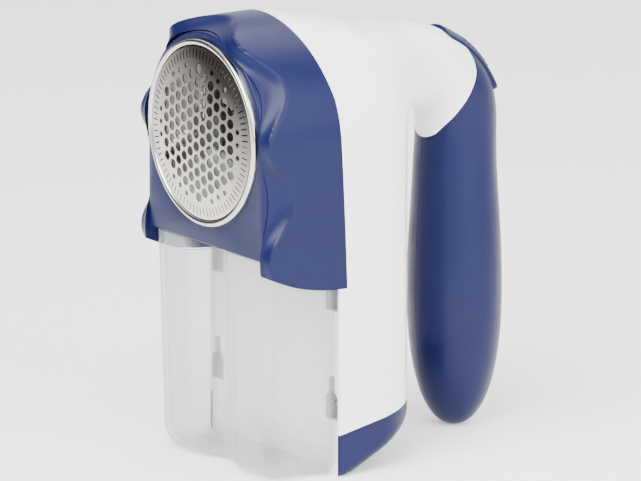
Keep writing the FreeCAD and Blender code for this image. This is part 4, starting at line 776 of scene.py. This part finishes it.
def build_foil(shape):
    material = material_for("foil_steel")
    foil = new_piece("foil_sheet", [(0, 0, 0)], [])
    tree = foil_tree(material)
    modifier = foil.modifiers.new("perforated foil", "NODES")
    sizes = {
        "Radius": FOIL_HIGH[0] - 1.8,
        "Hole Pitch": shape.hole_pitch / MM,
        "Hole Radius": shape.hole_radius / MM,
        "Small Hole Radius": shape.small_hole_radius / MM,
        "Slit Width": shape.slit_width / MM,
        "Axis Height": HEAD_Z,
        "Slit Count": shape.slit_count,
    }
    modifier.node_group = tree
    for item in tree.interface.items_tree:
        if item.in_out == "INPUT":
            modifier[item.identifier] = sizes.get(item.name, item.default_value)
    bake(foil)
    coordinates = np.zeros(len(foil.data.vertices) * 3)
    foil.data.vertices.foreach_get("co", coordinates)
    coordinates = (coordinates.reshape(-1, 3) + (0, FACE, 0)) * MM
    foil.data.vertices.foreach_set("co", coordinates.ravel())
    shade(foil, 40)
    wall = build_foil_wall(material)
    finish_piece(foil, material, "head_cover", "foil_steel", "foil")
    finish_piece(wall, material, "head_cover", "foil_steel")


def build_foil_wall(material):
    """The cup wall and the flange that hold the foil behind the cover."""
    radius, start = FOIL_HIGH[0] - 1.8, -1.5
    profile = [(radius, start), (radius, 2.5), (radius + 1.8, 2.5), (radius + 1.8, 2.85)]
    profile += [(radius - 0.35, 2.85), (radius - 0.35, start)]
    return shade(ring("foil_wall", profile), 40)


def body_tools():
    """The outlines that part the white body, the handle and the base cap, (depth, z)."""
    slant = [(62.0, 92.0), (78.5, 92.3), (80.9, 93.3), (82.2, 95.0), (83.6, 97.7), (85.7, 101.0)]
    slant += [(88.6, 106.2), (91.2, 111.2)]
    slant += [(92.9, 114.6), (93.3, 118.0), (92.6, 121.6), (90.6, 125.0), (87.4, 128.6), (84.0, 134.0)]
    handle = [(62.0, -5.0)] + slant + [(84.0, 150.0), (125.0, 150.0), (125.0, -5.0)]
    cap = [(20.0, -5.0), (20.0, 11.9), (66.0, 21.2), (66.0, -5.0)]
    return handle, cap


def screw_places(node):
    """Depth, height and head position of each screw of a CAD node, in millimetres."""
    mesh = bmesh.new()
    mesh.from_mesh(frame["nodes"][node].data)
    bmesh.ops.remove_doubles(mesh, verts=mesh.verts, dist=1e-6)
    left, places = set(mesh.verts), []
    while left:
        reached, island = [left.pop()], []
        while reached:
            vert = reached.pop()
            island.append(vert.co / MM)
            near = {edge.other_vert(vert) for edge in vert.link_edges} & left
            left -= near
            reached += near
        low, high = np.min(island, axis=0), np.max(island, axis=0)
        places.append(((low[1] + high[1]) / 2 - FACE, (low[2] + high[2]) / 2, low[0]))
    mesh.free()
    return sorted(places)


def round_outline(depth, z, radius, segments=40):
    """A circle seen from the side."""
    turn = [2 * math.pi * i / segments for i in range(segments)]
    return [(depth + radius * math.cos(a), z + radius * math.sin(a)) for a in turn]


SCREW_WELL, SCREW_BOSS = 2.65, 3.6  # radii of the well for a screw's head and of the tube round it


def drill(piece, node):
    """Wells for the heads of a node's screws, from the left side down to each head."""
    for depth, z, head in screw_places(node):
        carve(piece, [side_block(round_outline(depth, z, SCREW_WELL), start=-60.0, end=head + 1.7)])
    return piece


def build_bosses():
    """The tubes round the heads of the body's screws."""
    wall = bpy.data.meshes.new("screw_bosses")
    bosses = bpy.data.objects.new("screw_bosses", wall)
    bpy.context.scene.collection.objects.link(bosses)
    whole = bmesh.new()
    for depth, z, head in screw_places("body_screws"):
        tube = side_block(round_outline(depth, z, SCREW_BOSS), start=head - 2.4, end=head + 3.0)
        carve(tube, [side_block(round_outline(depth, z, SCREW_WELL), start=head - 9, end=head + 1.8)])
        whole.from_mesh(tube.data)
        bpy.data.objects.remove(tube)
    whole.to_mesh(wall)
    whole.free()
    finish_piece(shade(bosses), material_for("white_plastic"), "root", "white_plastic")


KEYHOLE_RIGHT = [(3.2, 0), (3.2, 7.2), (1.45, 8.6), (1.45, 13.6)]
KEYHOLE = [(-3.2, 0)] + KEYHOLE_RIGHT + [(-x, z) for x, z in KEYHOLE_RIGHT[:0:-1]]


def build_body(shape):
    """White body, handle and base cap, parted from one smooth form."""
    soft = shape.neck_blend / MM
    points, faces = surface(lambda p: body_form(p, soft), (-38.3, 14.2, -2.2), (38.4, 112, 143), 1.15)
    whole = new_piece("whole", points, faces)
    inner_points, inner_faces = surface(
        lambda p: np.maximum(body_form(p, soft), COLUMN_FRONT - p[:, 1]) + WALL,
        (-36.3, 24.4, -0.4),
        (36.4, 111, 141),
        1.9,
    )
    inside = new_piece("inside", inner_points, inner_faces)
    handle_line, cap_line = body_tools()
    front_step = [(0, -9), (COLUMN_FRONT, -9), (COLUMN_FRONT, 61.4), (0, 61.4)]
    carve(whole, [side_block(front_step)])
    gap = shape.parting / MM
    handle = copy_of(whole, "handle_shell")
    carve(handle, [side_block(handle_line)], "INTERSECT")
    base = copy_of(whole, "base_cap_shell")
    carve(base, [side_block(cap_line)], "INTERSECT")
    lip_line = [(10, -9), (COLUMN_FRONT + WALL + 0.2, -9), (COLUMN_FRONT + WALL + 0.2, 30), (10, 30)]
    carve(base, [side_block(lip_line, start=-34.3, end=34.3)])
    carve(base, [copy_of(inside, "hollow")])
    raised = [(d, z + 0.22) if z > 0 else (d, z) for d, z in cap_line]
    under = side_block(raised)
    lip_line = [(10, -20), (COLUMN_FRONT + WALL, -20), (COLUMN_FRONT + WALL, 40), (10, 40)]
    carve(under, [side_block(lip_line, start=-34.1, end=34.1)])
    middle = side_block(handle_line, start=-0.6, end=0.6)
    tongue = carve(copy_of(inside, "handle_tongue"), [middle], "INTERSECT")
    finish_piece(shade(tongue), material_for("navy_plastic"), "root", "navy_plastic")
    carve(whole, [inside, under, side_block(handle_line), side_block(hood_outline(0.08))])
    opening = front_block(arch_outline(33.3, 61.5), 15, COLUMN_FRONT + 4)
    slots = []
    for x in (-31.0, 31.0):
        for foot in (17.6, 51.8):
            outline = [(x + a, foot + b) for a, b in KEYHOLE]
            slots.append(front_block(outline, 20, COLUMN_FRONT + 4))
    carve(whole, [opening] + slots)
    white = material_for("white_plastic")
    navy = material_for("navy_plastic")
    for side, start, end in (("left", -60, -gap / 2), ("right", gap / 2, 60)):
        box = [(0, -9), (130, -9), (130, 160), (0, 160)]
        half = carve(copy_of(whole, f"white_half_{side}"), [side_block(box, start, end)], "INTERSECT")
        grip = carve(copy_of(handle, f"handle_half_{side}"), [side_block(box, start, end)], "INTERSECT")
        if side == "left":
            drill(half, "body_screws")
            drill(grip, "handle_screws")
        finish_piece(shade(half), white, "root", "white_plastic", f"body_shell_{side}")
        finish_piece(shade(grip), navy, "root", "navy_plastic", f"handle_{side}")
    build_bosses()
    for spare in (whole, handle):
        bpy.data.objects.remove(spare)
    finish_piece(shade(base), navy, "base_cap", "navy_plastic", "base_cap")


def build_bin():
    """The clear lint bin, hollowed and trimmed round the hood."""
    outer, faces = surface(lambda p: bin_form(p, 0.0, False), (-37, -2, -2), (37, 28, 72), 0.85)
    tub = new_piece("lint_bin_tub", outer, faces)
    inner, inner_faces = surface(
        lambda p: np.maximum(bin_form(p, 1.7, True), p[:, 2] - BIN_TOP - 3), (-37, -2, -2), (37, 28, 76), 0.85
    )
    carve(tub, [new_piece("hollow", inner, inner_faces)])
    spare = side_block(hood_outline(0.4))
    keep = front_block([(-31.1, -9), (31.1, -9), (31.1, 99), (-31.1, 99)], -20, 60)
    carve(spare, [keep])
    carve(tub, [spare])
    shade(tub)
    finish_piece(tub, material_for("clear_plastic"), "lint_bin", "clear_plastic", "lint_bin")


def slider_form(p):
    """The power slider: a curved plate round the shoulder with a row of low ribs."""
    x, depth, z = p.T
    radial = np.hypot(depth - SHOULDER[0], z - SHOULDER[1]) - 39.2 + 0.045 * x**2
    angle = np.degrees(np.arctan2(z - SHOULDER[1], depth - SHOULDER[0]))
    along = np.radians(angle - 44.5) * 40.4
    ribs = np.clip(np.cos(along * 2 * math.pi / 2.2), 0, 1) * 0.35 * (np.abs(along) < 6.6) * (np.abs(x) < 5.6)
    thick = np.abs(radial) - 1.0
    plate = round_meet(np.abs(x) - 7.5, np.abs(along) - 15.0, 2.2)
    return round_meet(thick - ribs * (radial > 0), plate, 0.7)


def build_slider():
    points, faces = surface(slider_form, (-9, 84, 102), (9, 112, 131), 0.42)
    slider = shade(new_piece("power_slider_plate", points, faces), 45)
    finish_piece(slider, material_for("navy_plastic"), "power_slider", "navy_plastic", "power_slider")


def paint_frame():
    """Gives each CAD node that stays visible its finish."""
    slots = {part["node"]: part["material_slot"] for part in frame["record"]["subparts"]}
    for node, obj in frame["nodes"].items():
        obj.data.materials.clear()
        obj.data.materials.append(material_for(slots[node]))


# ---- stage --------------------------------------------------------------------------------------
VIEW_AZIMUTH, VIEW_ELEVATION, VIEW_DISTANCE = 55.3, 13.3, 2.7
AIM = (0.0, 42.8, 65.4)
LENS = 491.7


def build_stage():
    """Pale floor, soft lights and the camera."""
    reach, level = 2000, -0.02
    corners = [(-reach, -reach), (reach, -reach), (reach, reach), (-reach, reach)]
    floor = new_piece("floor", [(x, d, level) for x, d in corners], [(0, 1, 2, 3)])
    paper, nodes, links, shader = node_material("pale_floor")
    vary_colour(nodes, links, shader, noise(nodes, links, 3, 2), (0.93, 0.93, 0.93), 0.01)
    shader.inputs["Roughness"].default_value = 0.6
    shader.inputs["Emission Color"].default_value = (1, 1, 1, 1)
    shader.inputs["Emission Strength"].default_value = 0.35
    floor.data.materials.append(paper)
    world = bpy.data.worlds.new("studio")
    bpy.context.scene.world = world
    world.use_nodes = True
    nodes, links = world.node_tree.nodes, world.node_tree.links
    way = nodes.new("ShaderNodeTexCoord")
    toward = nodes.new("ShaderNodeVectorMath")
    toward.operation = "DOT_PRODUCT"
    toward.inputs[1].default_value = Vector((-0.78, -0.58, 0.24)).normalized()
    ramp = nodes.new("ShaderNodeValToRGB")
    for stop, (at, tone) in zip(ramp.color_ramp.elements, ((0.62, 1.0), (0.93, 0.06))):
        stop.position, stop.color = at, (tone, tone, tone, 1)
    links.new(way.outputs["Generated"], toward.inputs[0])
    links.new(toward.outputs["Value"], ramp.inputs["Fac"])
    links.new(ramp.outputs["Color"], nodes["Background"].inputs["Color"])
    nodes["Background"].inputs["Strength"].default_value = 1.6
    aim = Vector((AIM[0], AIM[1] + FACE, AIM[2])) * MM
    for name, azimuth, elevation, distance, size, power in (
        ("key", 30, 50, 0.9, 0.7, 24.0),
        ("fill", 100, 25, 1.0, 0.8, 12.0),
        ("back", 200, 50, 1.0, 0.6, 4.0),
    ):
        lamp = bpy.data.lights.new(name, "AREA")
        lamp.size, lamp.energy = size, power
        light = bpy.data.objects.new(name, lamp)
        bpy.context.scene.collection.objects.link(light)
        place_facing(light, aim, azimuth, elevation, distance)
    camera = bpy.data.objects.new("camera", bpy.data.cameras.new("camera"))
    camera.data.lens, camera.data.sensor_width = LENS, 36
    camera.data.clip_end = 20
    bpy.context.scene.collection.objects.link(camera)
    place_facing(camera, aim, VIEW_AZIMUTH, VIEW_ELEVATION, VIEW_DISTANCE)
    bpy.context.scene.camera = camera


def place_facing(obj, aim, azimuth, elevation, distance):
    a, e = math.radians(azimuth), math.radians(elevation)
    way = Vector((math.sin(a) * math.cos(e), -math.cos(a) * math.cos(e), math.sin(e)))
    obj.location = aim + way * distance
    obj.rotation_euler = (-way).to_track_quat("-Z", "Y").to_euler()


# ---- operators and panel ------------------------------------------------------------------------
class ShaverOperator:
    bl_options = {"REGISTER", "UNDO"}


class SHAVER_OT_frame_finish(ShaverOperator, bpy.types.Operator):
    """Give the inner parts their finish"""

    bl_idname = "shaver.frame_finish"
    bl_label = "Inner Parts"

    def execute(self, context):
        paint_frame()
        return {"FINISHED"}


class SHAVER_OT_hood(ShaverOperator, bpy.types.Operator):
    """Build the scooped hood"""

    bl_idname = "shaver.hood"
    bl_label = "Hood"

    def execute(self, context):
        build_hood(context.scene.shaver_shape)
        return {"FINISHED"}


class SHAVER_OT_head_cover(ShaverOperator, bpy.types.Operator):
    """Build the foil cover and its bright rim"""

    bl_idname = "shaver.head_cover"
    bl_label = "Foil Cover and Rim"

    def execute(self, context):
        build_cover()
        build_rim()
        return {"FINISHED"}


class SHAVER_OT_foil(ShaverOperator, bpy.types.Operator):
    """Build the perforated foil"""

    bl_idname = "shaver.foil"
    bl_label = "Foil"

    def execute(self, context):
        build_foil(context.scene.shaver_shape)
        return {"FINISHED"}


class SHAVER_OT_body(ShaverOperator, bpy.types.Operator):
    """Build the white body, the handle and the base cap"""

    bl_idname = "shaver.body"
    bl_label = "Body, Handle and Base Cap"

    def execute(self, context):
        build_body(context.scene.shaver_shape)
        return {"FINISHED"}


class SHAVER_OT_lint_bin(ShaverOperator, bpy.types.Operator):
    """Build the clear lint bin"""

    bl_idname = "shaver.lint_bin"
    bl_label = "Lint Bin"

    def execute(self, context):
        build_bin()
        return {"FINISHED"}


class SHAVER_OT_slider(ShaverOperator, bpy.types.Operator):
    """Build the power slider"""

    bl_idname = "shaver.slider"
    bl_label = "Power Slider"

    def execute(self, context):
        build_slider()
        return {"FINISHED"}


class SHAVER_OT_stage(ShaverOperator, bpy.types.Operator):
    """Set up the floor, the lights and the camera"""

    bl_idname = "shaver.stage"
    bl_label = "Stage"

    def execute(self, context):
        build_stage()
        return {"FINISHED"}


STEPS = (
    SHAVER_OT_frame_finish,
    SHAVER_OT_hood,
    SHAVER_OT_head_cover,
    SHAVER_OT_foil,
    SHAVER_OT_body,
    SHAVER_OT_lint_bin,
    SHAVER_OT_slider,
    SHAVER_OT_stage,
)


class SHAVER_PT_panel(bpy.types.Panel):
    """Sizes, finish and building steps of the fabric shaver"""

    bl_idname = "SHAVER_PT_panel"
    bl_label = "Fabric Shaver"
    bl_space_type = "VIEW_3D"
    bl_region_type = "UI"
    bl_category = "Shaver"

    def draw(self, context):
        for group in (context.scene.shaver_shape, context.scene.shaver_finish):
            for name in group.__annotations__:
                self.layout.prop(group, name)
        for step in STEPS:
            self.layout.operator(step.bl_idname)


CLASSES = (ShaverShape, ShaverFinish, *STEPS, SHAVER_PT_panel)


def register():
    for cls in CLASSES:
        bpy.utils.register_class(cls)
    bpy.types.Scene.shaver_shape = bpy.props.PointerProperty(type=ShaverShape)
    bpy.types.Scene.shaver_finish = bpy.props.PointerProperty(type=ShaverFinish)


def unregister():
    del bpy.types.Scene.shaver_shape
    del bpy.types.Scene.shaver_finish
    for cls in reversed(CLASSES):
        bpy.utils.unregister_class(cls)


def main():
    register()
    for step in STEPS:
        group, name = step.bl_idname.split(".")
        getattr(getattr(bpy.ops, group), name)()


if __name__ == "__main__":
    main()
